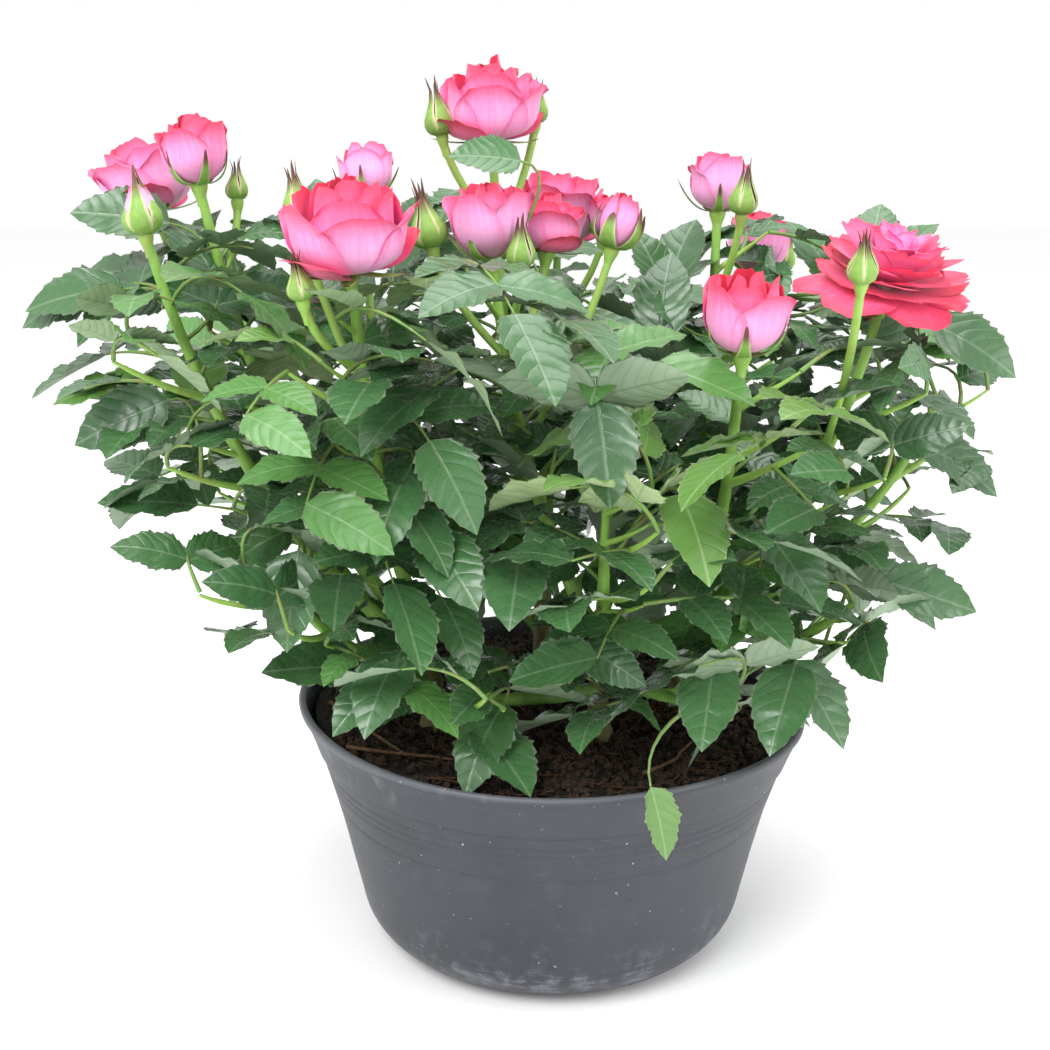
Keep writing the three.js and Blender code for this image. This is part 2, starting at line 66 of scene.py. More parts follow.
def aimed(data, name, at, target=None, pitch=None):
    made = bpy.data.objects.new(name, data)
    bpy.context.scene.collection.objects.link(made)
    made.location = at
    if target is not None:
        made.rotation_euler = (Vector(target) - made.location).to_track_quat("-Z", "Y").to_euler()
    else:
        made.rotation_euler = ((90 - pitch) * deg, 0, 0)
    return made


lens = bpy.data.cameras.new("camera")
lens.lens, lens.sensor_width, lens.clip_start = camera["lens"], 36, 0.02
bpy.context.scene.camera = aimed(lens, "camera", camera["at"], pitch=camera["pitch"])
for spec in lights:
    lamp = bpy.data.lights.new(spec["name"], "AREA")
    lamp.shape, lamp.size, lamp.energy = "DISK", spec["size"], spec["power"]
    aimed(lamp, spec["name"], spec["at"], target=(0, 0, 0.22))
world = bpy.data.worlds.new("world")
world.use_nodes = True
bpy.context.scene.world = world
world.node_tree.nodes["Background"].inputs["Color"].default_value = (*room["sky"], 1)
world.node_tree.nodes["Background"].inputs["Strength"].default_value = room["strength"]
bpy.context.scene.view_settings.view_transform = "Standard"
print("camera and light")

# Small helpers for nodes and meshes
def node(tree, kind, values=None, **settings):
    made = tree.nodes.new(kind)
    for key, value in settings.items():
        setattr(made, key, value)
    for key, value in (values or {}).items():
        value = getattr(value, "socket", value)
        if isinstance(value, bpy.types.NodeSocket):
            tree.links.new(value, made.inputs[key])
        else:
            made.inputs[key].default_value = value
    return made


# A node's output, to be reckoned with like a number
class Flow:
    def __init__(self, tree, kind, values=None, output=0, **settings):
        self.tree, self.socket = tree, node(tree, kind, values, **settings).outputs[output]

    def calc(self, operation, other=0.0, clamp=False):
        return Flow(self.tree, "ShaderNodeMath", {0: self, 1: other}, operation=operation, use_clamp=clamp)

    def __add__(self, other):
        return self.calc("ADD", other)

    def __sub__(self, other):
        return self.calc("SUBTRACT", other)

    def __mul__(self, other):
        return self.calc("MULTIPLY", other)

    def ranged(self, low, high, to=(0.0, 1.0)):
        values = {0: self, 1: low, 2: high, 3: to[0], 4: to[1]}
        return Flow(self.tree, "ShaderNodeMapRange", values, interpolation_type="SMOOTHSTEP")


# sRGB hex to linear
def rgba(code):
    parts = [int(code[i : i + 2], 16) / 255 for i in (1, 3, 5)]
    return (*[((c + 0.055) / 1.055) ** 2.4 if c > 0.04 else c / 12.92 for c in parts], 1)


# A finish being mixed: its material, nodes and shader
class Finish:
    def __init__(self, name):
        self.made = bpy.data.materials.new(name)
        self.made.use_nodes = True
        self.tree = self.made.node_tree
        self.shader = self.tree.nodes["Principled BSDF"]

    def fixed(self, values):
        for key, value in values.items():
            self.shader.inputs[key].default_value = value
        return self.made

    def flow(self, kind, values=None, output=0, **settings):
        return Flow(self.tree, kind, values, output, **settings)

    def reading(self, name):
        return self.flow("ShaderNodeAttribute", output="Fac", attribute_name=name)

    def place(self):
        return self.flow("ShaderNodeTexCoord", output="Object")

    def height(self):
        return self.flow("ShaderNodeSeparateXYZ", {0: self.place()}, 2)

    def uv(self):
        pair = self.flow("ShaderNodeUVMap", uv_map="UVMap")
        return [self.flow("ShaderNodeSeparateXYZ", {0: pair}, axis) for axis in (0, 1)]

    def noise(self, scale, detail=3.0, stretch=(1, 1, 1), rough=0.55):
        moved = self.flow("ShaderNodeMapping", {"Vector": self.place(), "Scale": stretch})
        values = {"Vector": moved, "Scale": scale, "Detail": detail, "Roughness": rough}
        return self.flow("ShaderNodeTexNoise", values, "Fac")

    # Colours laid over one another, each as far as its share says
    def painted(self, body, *layers):
        for share, colour in layers:
            low, high = (rgba(c) if isinstance(c, str) else c for c in (body, colour))
            body = self.flow("ShaderNodeMix", {0: share, 6: low, 7: high}, 2, data_type="RGBA")
        return body

    def done(self, body, rough, height, distance, strength):
        relief = self.flow("ShaderNodeBump", {"Height": height, "Distance": distance, "Strength": strength})
        for key, value in {"Base Color": body, "Roughness": rough, "Normal": relief}.items():
            self.tree.links.new(value.socket, self.shader.inputs[key])
        return self.made


# points in millimetres; values are numbers at the points; uvs one pair for each point
def meshOf(name, points, faces, values=None, uvs=None, sharp=None, edges=()):
    mesh = bpy.data.meshes.new(name)
    mesh.from_pydata((np.asarray(points, float) / 1000).tolist(), list(edges), list(faces))
    for key, data in (values or {}).items():
        data = np.asarray(data, np.float32)
        if data.ndim == 2:
            mesh.attributes.new(key, "FLOAT_VECTOR", "POINT").data.foreach_set("vector", data.ravel())
        else:
            mesh.attributes.new(key, "FLOAT", "POINT").data.foreach_set("value", data)
    if uvs is not None:
        layer = mesh.uv_layers.new(name="UVMap")
        at = np.zeros(len(mesh.loops), np.int32)
        mesh.loops.foreach_get("vertex_index", at)
        layer.data.foreach_set("uv", np.asarray(uvs, np.float32)[at].ravel())
    if faces:
        mesh.polygons.foreach_set("use_smooth", [True] * len(mesh.polygons))
    if sharp is not None:
        flags = [bool(sharp[a] and sharp[b]) for a, b in (tuple(edge.vertices) for edge in mesh.edges)]
        mesh.attributes.new("sharp_edge", "BOOLEAN", "EDGE").data.foreach_set("value", flags)
    mesh.update()
    return mesh


def placed(mesh, finish=None):
    made = bpy.data.objects.new(mesh.name, mesh)
    bpy.context.scene.collection.objects.link(made)
    if finish:
        made.data.materials.append(finish)
    return made


def piece(made, slot, *nodes):
    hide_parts(*nodes)
    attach(made, "root")
    print("piece", made.name, len(made.data.polygons), "faces")


# Geometry node trees: their inputs are named, and each ends in one finished mesh
def newTree(name, inputs):
    tree = bpy.data.node_groups.new(name, "GeometryNodeTree")
    for key, kind in {"Geometry": "NodeSocketGeometry", **inputs}.items():
        tree.interface.new_socket(key, in_out="INPUT", socket_type=kind)
    tree.interface.new_socket("Geometry", in_out="OUTPUT", socket_type="NodeSocketGeometry")
    return tree, node(tree, "NodeGroupInput").outputs


def finishTree(tree, geometry, finish):
    real = Flow(tree, "GeometryNodeRealizeInstances", {0: geometry})
    done = Flow(tree, "GeometryNodeSetMaterial", {"Geometry": real, "Material": finish})
    node(tree, "NodeGroupOutput", {0: done})
    return tree


def named(tree, key, kind="FLOAT"):
    return Flow(tree, "GeometryNodeInputNamedAttribute", {"Name": key}, data_type=kind)


# Runs a tree on a mesh and returns the result as an object with a plain mesh
def grown(name, source, tree, values):
    base = placed(source)
    modifier = base.modifiers.new("grow", "NODES")
    modifier.node_group = tree
    for item in tree.interface.items_tree:
        if item.item_type == "SOCKET" and item.in_out == "INPUT" and item.name in values:
            modifier[item.identifier] = values[item.name]
    base.update_tag()
    bpy.context.view_layer.update()
    graph = bpy.context.evaluated_depsgraph_get()
    whole = base.evaluated_get(graph)
    mesh = bpy.data.meshes.new_from_object(whole, preserve_all_data_layers=True, depsgraph=graph)
    mesh.name = name
    bpy.data.objects.remove(base)
    return placed(mesh)


# Tubes along lines of points, as thick as the points say, with a little relief
def strandTree():
    kinds = {"Sides": "NodeSocketInt", "Relief": "NodeSocketFloat", "Grain": "NodeSocketFloat"}
    kinds |= {"Seed": "NodeSocketFloat", "Finish": "NodeSocketMaterial"}
    tree, give = newTree("strands", kinds)
    line = Flow(tree, "GeometryNodeMeshToCurve", {"Mesh": give["Geometry"]})
    thick = Flow(tree, "GeometryNodeSetCurveRadius", {"Curve": line, "Radius": named(tree, "thickness")})
    ring = Flow(tree, "GeometryNodeCurvePrimitiveCircle", {"Resolution": give["Sides"], "Radius": 1.0})
    values = {"Curve": thick, "Profile Curve": ring, "Scale": Flow(tree, "GeometryNodeInputRadius")}
    tube = Flow(tree, "GeometryNodeCurveToMesh", {**values, "Fill Caps": True})
    values = {"Vector": Flow(tree, "GeometryNodeInputPosition"), "W": give["Seed"], "Scale": give["Grain"]}
    grain = Flow(tree, "ShaderNodeTexNoise", {**values, "Detail": 3.0}, noise_dimensions="4D")
    values = {0: Flow(tree, "GeometryNodeInputNormal"), "Scale": (grain - 0.5) * give["Relief"]}
    offset = Flow(tree, "ShaderNodeVectorMath", values, operation="SCALE")
    moved = Flow(tree, "GeometryNodeSetPosition", {"Geometry": tube, "Offset": offset})
    return finishTree(tree, Flow(tree, "GeometryNodeSetShadeSmooth", {"Geometry": moved}), give["Finish"])


# One of a collection's forms at each point, turned and sized as the point says
def scatterTree():
    kinds = {"Forms": "NodeSocketCollection", "Scale": "NodeSocketFloat", "Finish": "NodeSocketMaterial"}
    tree, give = newTree("scatter", kinds)
    forms = Flow(tree, "GeometryNodeCollectionInfo", {"Collection": give["Forms"], "Separate Children": True})
    form = Flow(tree, "FunctionNodeFloatToInt", {0: named(tree, "form")}, rounding_mode="FLOOR")
    turn = Flow(tree, "FunctionNodeEulerToRotation", {0: named(tree, "turn", "FLOAT_VECTOR")})
    values = {"Points": give["Geometry"], "Instance": forms, "Pick Instance": True, "Instance Index": form}
    values |= {"Rotation": turn, "Scale": named(tree, "size") * give["Scale"]}
    return finishTree(tree, Flow(tree, "GeometryNodeInstanceOnPoints", values), give["Finish"])


strands, scatter = strandTree(), scatterTree()


# lines: [(points, radii), ...] in millimetres, as a mesh of edges.
def strandMesh(name, lines):
    points, radii, edges = [], [], []
    for line, thick in lines:
        start = len(points)
        points += list(line)
        radii += [r / 1000 for r in thick]
        edges += [(start + i, start + i + 1) for i in range(len(line) - 1)]
    return meshOf(name, points, [], {"thickness": radii}, edges=edges)


def collection(name, meshes):
    made = bpy.data.collections.new(name)
    for mesh in meshes:
        made.objects.link(bpy.data.objects.new(mesh.name, mesh))
    return made


# The rule of growth: the stems, canes, blooms and leaf sizes are those of the solids
pot = {
    "height": 124, "footRadius": 100, "footCorner": 26, "footTurn": 75, "collarRadius": 116.7,
    "collarHeight": 101, "collarStep": 1.4, "rimRadius": 125, "wall": 2.2, "floor": 3, "sides": 144,
}
warp = {"from": 60, "wider": 0.01, "narrower": 0.012, "out": 3, "lift": 5}
soil = {"top": 116, "level": 85, "edgeDrop": 1, "clear": 0.6}
stems = {
    "left": {"at": (-59, -22), "lean": (-5, -3), "height": 52},
    "front": {"at": (22, -35), "lean": (1, -6), "height": 50},
    "right": {"at": (66, 4), "lean": (6, -3), "height": 52},
    "back": {"at": (-4, 48), "lean": (0, 6), "height": 54},
}
stem = {"footRadius": 5.4, "tipRadius": 4.6, "flare": 2.6, "flareHeight": 0.3}
cane = {"out": 0.75, "up": 0.35, "radius": 3.9, "tipRadius": 2.1, "bare": 0.36}
twig = {"rise": 52, "seek": 8, "sizes": (0.7, 0.5), "outward": 0.4}
leaf = {
    "length": 42, "width": 0.67, "widest": 0.42, "stalk": 1.45, "shortStalk": 0.9, "stalkRadius": 1.05,
    "rise": 50, "pairs": (0.34, 0.69), "stagger": 0.015, "pairSize": (0.72, 0.86), "spread": 70,
    "turn": 137.5, "seek": (0, 40, -40, 80, -80, 120, -120, 160, -160), "flatter": 0.35, "outward": 1.6,
    "sunk": 0.4, "sizes": (0.8, 0.3), "droop": (44, 26, 34), "fullHeight": 360, "roll": 44,
}
headStalk = {"fork": 1.4, "bow": 0.8, "lean": 0.006}  # where a side bloom's stalk forks off, and its bend
# The first growth is that of the solids, and keeps each cane's twigs and leaves nearest to that cane.
# The second fills in between with finer twigs, and keeps only those that carry leaves.
firstGrowth = {
    "seed": 1, "shares": (0.5, 0.7), "length": 62, "radius": 1.9, "start": 12, "spacing": 25, "fewest": 3,
    "apart": 23, "near": 42, "cells": True, "bare": 1, "above": 8, "belowBloom": 26,
}
fullGrowth = {
    "seed": 101, "shares": (0.42, 0.58, 0.76, 0.88), "length": 46, "radius": 1.4, "start": 8, "spacing": 16,
    "fewest": 3, "apart": 16, "near": 36, "cells": False, "bare": 0.7, "above": 0, "belowBloom": 22,
}
crown = {"middle": (-16, 8), "radius": (238, 182), "lean": 0.12, "widestAt": 300, "below": 215, "above": 86}
# Openings through the crown, where the finer growth leaves the sky to be seen: x and z where each one
# starts at the front and ends at the back, and its radius.
openings = {"front": -150, "back": 170, "lines": [
    ((-170, 277), (-265, 202), 26), ((-153, 273), (-237, 195), 30), ((-137, 269), (-213, 189), 22),
    ((-161, 243), (-250, 147), 28), ((-139, 241), (-216, 144), 18), ((-129, 212), (-199, 97), 26),
    ((-114, 201), (-174, 80), 22), ((149, 265), (248, 183), 34), ((158, 249), (263, 157), 26),
    ((138, 249), (231, 157), 24), ((123, 203), (206, 83), 28), ((150, 340), (250, 303), 24),
    ((-188, 331), (-294, 288), 20), ((162, 293), (269, 227), 20),
]}
# Canes in each stem's order from the lowest fork up: stem, tip as azimuth, reach and height, and
# blooms as kind, width and offset from the tip.
canes = {
    "low_left": ("left", (207, 150, 222), []),
    "back_outer_left": ("left", (158, 180, 285), []),
    "left_outer": ("left", (195, 187, 360), [("bud", 17, 0, 0, 0)]),
    "left": ("left", (183, 165, 380), [("goblet", 29, 0, 0, 0), ("cup", 41, -29, 32, -14), ("bud", 10, 13, 22, -8)]),
    "front_left": ("left", (224.5, 121, 347), [
        ("cup", 47, 0, 0, 0), ("goblet", 23, 0, 65, 27), ("bud", 13, -23, 18, 20), ("bud", 10.5, -18, -17, -10)]),
    "low_front_left": ("front", (240, 104, 160), []),
    "low_front_right": ("front", (303, 118, 160), []),
    "front": ("front", (281, 106, 262), []),
    "middle": ("front", (228, 43, 348), [
        ("goblet", 33, 0, 0, 0), ("goblet", 20, 55, 8, 4), ("cup", 31, 25, 20, 2), ("bud", 12, 13, -21, -2),
        ("bud", 16, -27, 0, 5)]),
    "low_right": ("right", (338, 160, 205), []),
    "front_right": ("right", (310, 120, 314), [("goblet", 33, 0, 0, 0)]),
    "right_outer": ("right", (357, 190, 290), []),
    "low_back_right": ("right", (38, 160, 225), []),
    "right": ("right", (343, 153, 333), [("open", 77, 0, 0, 0), ("bud", 12, -23, -54, 11)]),
    "right_back": ("right", (20, 86, 366), [("goblet", 27, 0, 0, 0), ("bud", 13, 8, -26, 0)]),
    "back_left": ("back", (138, 148, 332), [("cup", 43, 0, 0, 0), ("bud", 12, -22, 8, 6)]),
    "back_right": ("back", (42, 150, 330), [("goblet", 32, 0, 0, 0), ("bud", 12, 18, 16, 0)]),
    "high": ("back", (135, 42, 400), [("cup", 44, 0, 0, 0), ("bud", 14, -24, -8, 2), ("bud", 11, 21, 18, 8)]),
    "low_back": ("back", (100, 140, 225), []),
    "back": ("back", (88, 128, 344), [("cup", 46, 0, 0, 0), ("goblet", 22, 25, -14, 4)]),
}


def seeded(seed):
    state = [seed * 7919 + 12345]

    def draw():
        state[0] = (1664525 * state[0] + 1013904223) % 4294967296
        return state[0] / 4294967296

    return draw


def unit(v):
    return v / np.linalg.norm(v, axis=-1, keepdims=True)


def level(angle):
    return np.stack([np.cos(angle), np.sin(angle), 0 * angle], -1)


# A quadratic curve
class Bend:
    def __init__(self, a, b, c):
        self.a, self.b, self.c = (np.asarray(p, float) for p in (a, b, c))

    def at(self, t):
        t = np.asarray(t, float)[..., None]
        return (1 - t) ** 2 * self.a + 2 * (1 - t) * t * self.b + t * t * self.c

    def slope(self, t):
        return 2 * (1 - t) * (self.b - self.a) + 2 * t * (self.c - self.b)

    def points(self, steps):
        return self.at(np.linspace(0, 1, steps + 1))

    def length(self):
        return float(np.linalg.norm(np.diff(self.points(200), axis=0), axis=1).sum())

    def onSteps(self, steps, share):
        step = min(steps - 1, int(share * steps))
        first, last = self.at(step / steps), self.at((step + 1) / steps)
        return first + (last - first) * (share * steps - step)

    def stretch(self, start, end):
        a, c = self.at(start), self.at(end)
        return Bend(a, a + self.slope(start) * (end - start) / 2, c)


def stemCurve(name):
    (x, y), (dx, dy), height = (stems[name][key] for key in ("at", "lean", "height"))
    foot = soil["top"] + 0.3
    return Bend((x, y, foot), (x, y, foot + height * 0.5), (x + dx, y + dy, foot + height))


def caneCurve(name):
    owner, (azimuth, reach, height), _ = canes[name]
    tip = np.array([reach * np.cos(azimuth * deg), reach * np.sin(azimuth * deg), height])
    sisters = [other for other in canes if canes[other][0] == owner]
    start = stemCurve(owner).at(0.3 + 0.7 * (sisters.index(name) + 1) / len(sisters))
    bend = start + (tip - start) * cane["out"]
    bend[2] = start[2] + (tip[2] - start[2]) * cane["up"]
    return Bend(start, bend, tip)


# From each point to each straight run
def distances(points, starts, ends):
    way = ends - starts
    away = points[:, None] - starts[None]
    share = np.clip((away * way).sum(-1) / np.maximum((way * way).sum(-1), 1e-12), 0, 1)
    return np.linalg.norm(away - share[..., None] * way, axis=-1)


names = list(canes)
curves = [caneCurve(name) for name in names]
axes = np.array([curve.stretch(cane["bare"], 1).points(6) for curve in curves])
limbs = np.array([curve.stretch(0, cane["bare"]).points(4) for curve in curves])
trunks = np.array([stemCurve(name).points(3) for name in stems])


def inCrown(p):
    above = p[:, 2] - crown["widestAt"]
    high = above / np.where(above > 0, crown["above"], crown["below"])
    dx = (p[:, 0] - crown["middle"][0] + crown["lean"] * above) / crown["radius"][0]
    dy = (p[:, 1] - crown["middle"][1]) / crown["radius"][1]
    return dx * dx + dy * dy + high * high < 1


def clearOfPot(p):
    away = np.hypot(p[:, 0], p[:, 1])
    overRim = p[:, 2] > pot["height"] + warp["lift"] + 3
    overSoil = (p[:, 2] > soil["top"] + 5) & (away < pot["rimRadius"] - 14)
    return overRim | (away > pot["rimRadius"] + 8) | overSoil


# From each point to each line of points, as (points, lines)
def lineDistances(p, lines):
    count, steps = lines.shape[0], lines.shape[1] - 1
    flat = distances(p, lines[:, :-1].reshape(-1, 3), lines[:, 1:].reshape(-1, 3))
    return flat.reshape(len(p), count, steps).min(-1)


def fits(own, p, cells):
    fine = inCrown(p) & clearOfPot(p)
    if not fine.any():
        return fine
    toLimbs = lineDistances(p, limbs)
    clear = np.full(len(names), cane["radius"] + 1.5)
    clear[own] = cane["radius"] + 0.6
    fine &= (toLimbs > clear).all(1)
    fine &= (lineDistances(p, trunks) > stem["footRadius"] + stem["flare"] + 1).all(1)
    if cells:
        toAxes = lineDistances(p, axes)
        reach = toAxes[:, own] + 1.2
        toAxes[:, own] = np.inf
        fine &= toAxes.min(1) > reach
    return fine


# Whether each straight run passes through any of the triangles
def crossings(starts, ends, faces):
    if not len(starts) or not len(faces):
        return np.zeros(len(starts), bool)
    way = (ends - starts)[:, None]
    a, b, c = (faces[None, :, i] for i in range(3))
    normal = np.cross(b - a, c - a)
    facing = (way * normal).sum(-1)
    sign = np.where(facing > 0, 1.0, -1.0)
    away = starts[:, None] - a
    first = sign * (way * np.cross(away, c - a)).sum(-1)
    second = sign * (way * np.cross(b - a, away)).sum(-1)
    depth = -sign * (away * normal).sum(-1)
    size = abs(facing)
    inside = (size > 0) & (first >= 0) & (second >= 0) & (first + second <= size)
    return (inside & (depth >= 0) & (depth <= size)).any(1)


# What the crown holds so far
class Laid:
    def __init__(self):
        self.runs, self.radii, self.middles, self.faces, self.edges, self.heads = [], [], [], [], [], []

    def layRuns(self, points, radius):
        for start, end in zip(points[:-1], points[1:]):
            self.runs.append((start, end))
            self.radii.append(radius)

    def layBlade(self, shape):
        self.middles.append(shape["middle"])
        self.faces.append(shape["faces"])
        self.edges.append(shape["edges"])

    def near(self, middle, reach):
        runs, radii = np.array(self.runs), np.array(self.radii)
        close = distances(middle[None], runs[:, 0], runs[:, 1])[0] < reach
        middles = np.array(self.middles).reshape(-1, 3)
        kept = np.linalg.norm(middles - middle, axis=1) < reach + 30
        faces = np.array(self.faces).reshape(-1, 2, 3, 3)[kept]
        edges = np.array(self.edges).reshape(-1, 4, 2, 3)[kept]
        return runs[close], radii[close], middles[kept], faces, edges


laid = Laid()


def clearOfRuns(p, radius, runs, radii):
    if not len(runs):
        return np.ones(len(p), bool)
    return (distances(p, runs[:, 0], runs[:, 1]) > radii + radius + 0.7).all(1)


# A curve that leaves a limb at one angle and arches over until it falls at another
def arched(origin, slope, azimuth, rise, fall, half):
    flatWay = level(azimuth)
    out = unit(flatWay - slope * (flatWay @ slope))
    knee = origin + (out * np.sin(rise) + slope * np.cos(rise)) * half
    return Bend(origin, knee, knee + (flatWay * np.cos(fall) - up * np.sin(fall)) * half)


# A compound leaf: a stalk that leaves steeply and arches over, and its leaflets
def layLeaf(axil, slope, azimuth, size, droop, roll, pairs):
    half = size * (leaf["stalk"] if pairs > 1 else leaf["shortStalk"]) / 2
    stalk = arched(axil, slope, azimuth, leaf["rise"] * deg, droop, half)
    wanted = [(1.0, 0, 1.0)]
    for i in range(2 - pairs, 2):
        share, scale = leaf["pairs"][i], leaf["pairSize"][i]
        wanted[-1:-1] = [(share + leaf["stagger"], 1, scale), (share - leaf["stagger"], -1, scale)]
    return stalk, [leafletAt(stalk, roll, share, side, size * scale) for share, side, scale in wanted]


def leafletAt(stalk, roll, share, side, length):
    rib = unit(stalk.slope(share))
    flat = unit(up - rib * rib[2])
    normal = flat * np.cos(roll) + np.cross(flat, rib) * np.sin(roll)
    turn = side * leaf["spread"] * deg
    along = rib * np.cos(turn) + np.cross(normal, rib) * np.sin(turn)
    return {"root": stalk.onSteps(2, share), "along": along, "normal": normal, "length": length, "share": share}


# A leaflet's four corners as faces, edges and points to try
def shapeOf(leaflet):
    at, along, length = leaflet["root"], leaflet["along"], leaflet["length"]
    aside = np.cross(leaflet["normal"], along) * leaf["width"] * length / 2
    widest = at + along * leaf["widest"] * length
    tip, root, side, other = at + along * length, at - along * leaf["sunk"], widest + aside, widest - aside
    probe = np.array([tip, root, side, other, *((a + b) / 2 for a in (tip, root) for b in (side, other))])
    faces = np.array([[root, side, other], [tip, side, other]])
    edges = np.array([[root, side], [side, tip], [tip, other], [other, root]])
    return {"middle": (tip + root) / 2, "probe": probe, "faces": faces, "edges": edges}


# Whether a point stands in an opening, at the point's own depth
def inOpening(p):
    share = (p[1] - openings["back"]) / (openings["front"] - openings["back"])
    for start, end, radius in openings["lines"]:
        if np.hypot(*(p[::2] - end - np.subtract(start, end) * share)) < radius:
            return True
    return False


# Whether a leaflet fits between what is there already
def roomFor(shape, growth, around):
    runs, radii, middles, faces, edges = around
    if not growth["cells"] and inOpening(shape["middle"]):
        return False
    away = np.linalg.norm(middles - shape["middle"], axis=1)
    if (away < growth["apart"]).any():
        return False
    for at, radius in laid.heads:
        if np.linalg.norm(at - shape["middle"]) < radius + leaf["length"] / 3:
            return False
    if not clearOfRuns(np.vstack([shape["probe"], shape["middle"]]), 0, runs, radii).all():
        return False
    if len(runs) and crossings(runs[:, 0], runs[:, 1], shape["faces"]).any():
        return False
    near = away < growth["near"]
    if not near.any():
        return True
    if crossings(shape["edges"][:, 0], shape["edges"][:, 1], faces[near].reshape(-1, 3, 3)).any():
        return False
    theirs = edges[near].reshape(-1, 2, 3)
    return not crossings(theirs[:, 0], theirs[:, 1], shape["faces"]).any()


def outOf(p):
    return np.arctan2(p[1] - crown["middle"][1], p[0] - crown["middle"][0])


tries = [(turn, flat, pairs) for turn in leaf["seek"] for flat in (1, leaf["flatter"]) for pairs in (2, 1)]


# Leaves along a cane or twig, each turned to the side where most of its leaflets have room
def layLeaves(own, curve, steps, first, last, draw, growth):
    length = curve.length()
    start = draw() * 360
    leaves = []
    for i in range(max(1, int((last - first) / growth["spacing"]))):
        share = min(1, (first + (i + 0.5) * growth["spacing"]) / length)
        axil = curve.onSteps(steps, share)
        slope = unit(curve.slope(share))
        azimuth = (start + i * leaf["turn"]) * deg
        size = leaf["length"] * (leaf["sizes"][0] + leaf["sizes"][1] * draw())
        low, less, more = leaf["droop"]  # leaves high in the crown droop less
        droop = (low - less * (axil[2] / leaf["fullHeight"]) ** 2 + more * draw()) * deg
        roll = (draw() - 0.5) * leaf["roll"] * deg
        around = laid.near(axil, 125)
        made = [
            layLeaf(axil, slope, azimuth + turn * deg, size, droop * flat, roll, pairs)
            for turn, flat, pairs in tries]
        stalks = np.array([stalk.points(4)[1:] for stalk, _ in made])
        fine = fits(own, stalks.reshape(-1, 3), growth["cells"])
        fine &= clearOfRuns(stalks.reshape(-1, 3), leaf["stalkRadius"], around[0], around[1])
        best, most = None, 0
        for k in np.flatnonzero(fine.reshape(len(tries), -1).all(1)):
            stalk, leaflets = made[k]
            line = stalk.points(2)
            if crossings(line[:-1], line[1:], around[3].reshape(-1, 3, 3)).any():
                continue
            shapes = [shapeOf(leaflet) for leaflet in leaflets]
            inside = fits(own, np.vstack([shape["probe"] for shape in shapes]), growth["cells"])
            inside = inside.reshape(len(shapes), -1).all(1)
            kept = [j for j in range(len(shapes)) if inside[j] and roomFor(shapes[j], growth, around)]
            worth = len(kept) + leaf["outward"] * np.cos(azimuth + tries[k][0] * deg - outOf(axil))
            if len(kept) >= growth["fewest"] and worth > most:
                best, most = (stalk, [leaflets[j] for j in kept], [shapes[j] for j in kept]), worth
        if not best:
            continue
        stalk, leaflets, shapes = best
        leaves.append({"stalk": stalk, "leaflets": leaflets, "share": share, "tip": share > 0.8})
        for shape in shapes:
            laid.layBlade(shape)
        laid.layRuns(stalk.points(2), leaf["stalkRadius"])
    return leaves


# A side twig, turned to where it has most room, or nothing where it has none
def layTwig(own, share, azimuth, length, growth):
    origin, slope = curves[own].at(share), unit(curves[own].slope(share))
    rise = twig["rise"] * deg
    runs, radii = np.array(laid.runs), np.array(laid.radii)
    best, most = None, -np.inf
    for i in range(twig["seek"]):
        facing = azimuth + i * 2 * np.pi / twig["seek"]
        made = arched(origin, slope, facing, rise, rise - np.pi / 2, length / 2)
        line = made.points(4)[1:]
        if not (fits(own, line, growth["cells"]) & clearOfRuns(line, growth["radius"], runs, radii)).all():
            continue
        room = lineDistances(made.c[None], axes)[0, own]
        room += twig["outward"] * length * np.cos(facing - outOf(origin))
        if room > most:
            best, most = made, room
    return best


# Blooms of a cane: the first on its tip, the others on stalks that fork below it
def layHeads(own):
    curve = curves[own]
    rise = unit((unit(curve.slope(1.0)) + up) / 2)
    length = curve.length()
    heads = []
    for kind, width, dx, dy, dz in canes[names[own]][2]:
        at = curve.c + (dx, dy, dz)
        side = np.hypot(np.hypot(dx, dy), dz)
        lean = unit(rise + np.array([dx, dy, 0]) * headStalk["lean"])
        fork = curve.at(1 - side * headStalk["fork"] / length)
        stalk = Bend(fork, at - lean * side * headStalk["bow"], at) if side else None
        heads.append({"kind": kind, "width": width, "at": at, "lean": lean, "stalk": stalk})
    return heads


heads = [layHeads(own) for own in range(len(names))]
for own, curve in enumerate(curves):
    laid.layRuns(curve.points(8), cane["radius"])
    for head in heads[own]:
        laid.heads.append((head["at"] + head["lean"] * head["width"] * 0.4, head["width"] / 2))
        if head["stalk"]:
            laid.layRuns(head["stalk"].points(3), cane["tipRadius"])

# The twigs and leaves of one cane
def growCane(own, growth):
    draw = seeded(own + growth["seed"])
    turn, length = draw() * 360, curves[own].length()
    for i, share in enumerate(growth["shares"]):
        azimuth = (turn + i * leaf["turn"]) * deg
        size = growth["length"] * (twig["sizes"][0] + twig["sizes"][1] * draw())
        side = layTwig(own, share, azimuth, size, growth)
        if side is None:
            continue
        if growth["cells"]:
            laid.layRuns(side.points(2), growth["radius"])
        made = layLeaves(own, side, 2, growth["start"], side.length() + growth["spacing"] / 2, draw, growth)
        if made and not growth["cells"]:
            laid.layRuns(side.points(2), growth["radius"])
        if made or growth["cells"]:
            twigs.append((side, growth["radius"], max([one["share"] for one in made], default=0.3)))
            leaves.extend(made)
    first = cane["bare"] * length * growth["bare"] + growth["above"]
    last = length - (growth["belowBloom"] if heads[own] else 0)
    made = layLeaves(own, curves[own], 8, first, last, draw, growth)
    caneLeaves[own] += made
    leaves.extend(made)


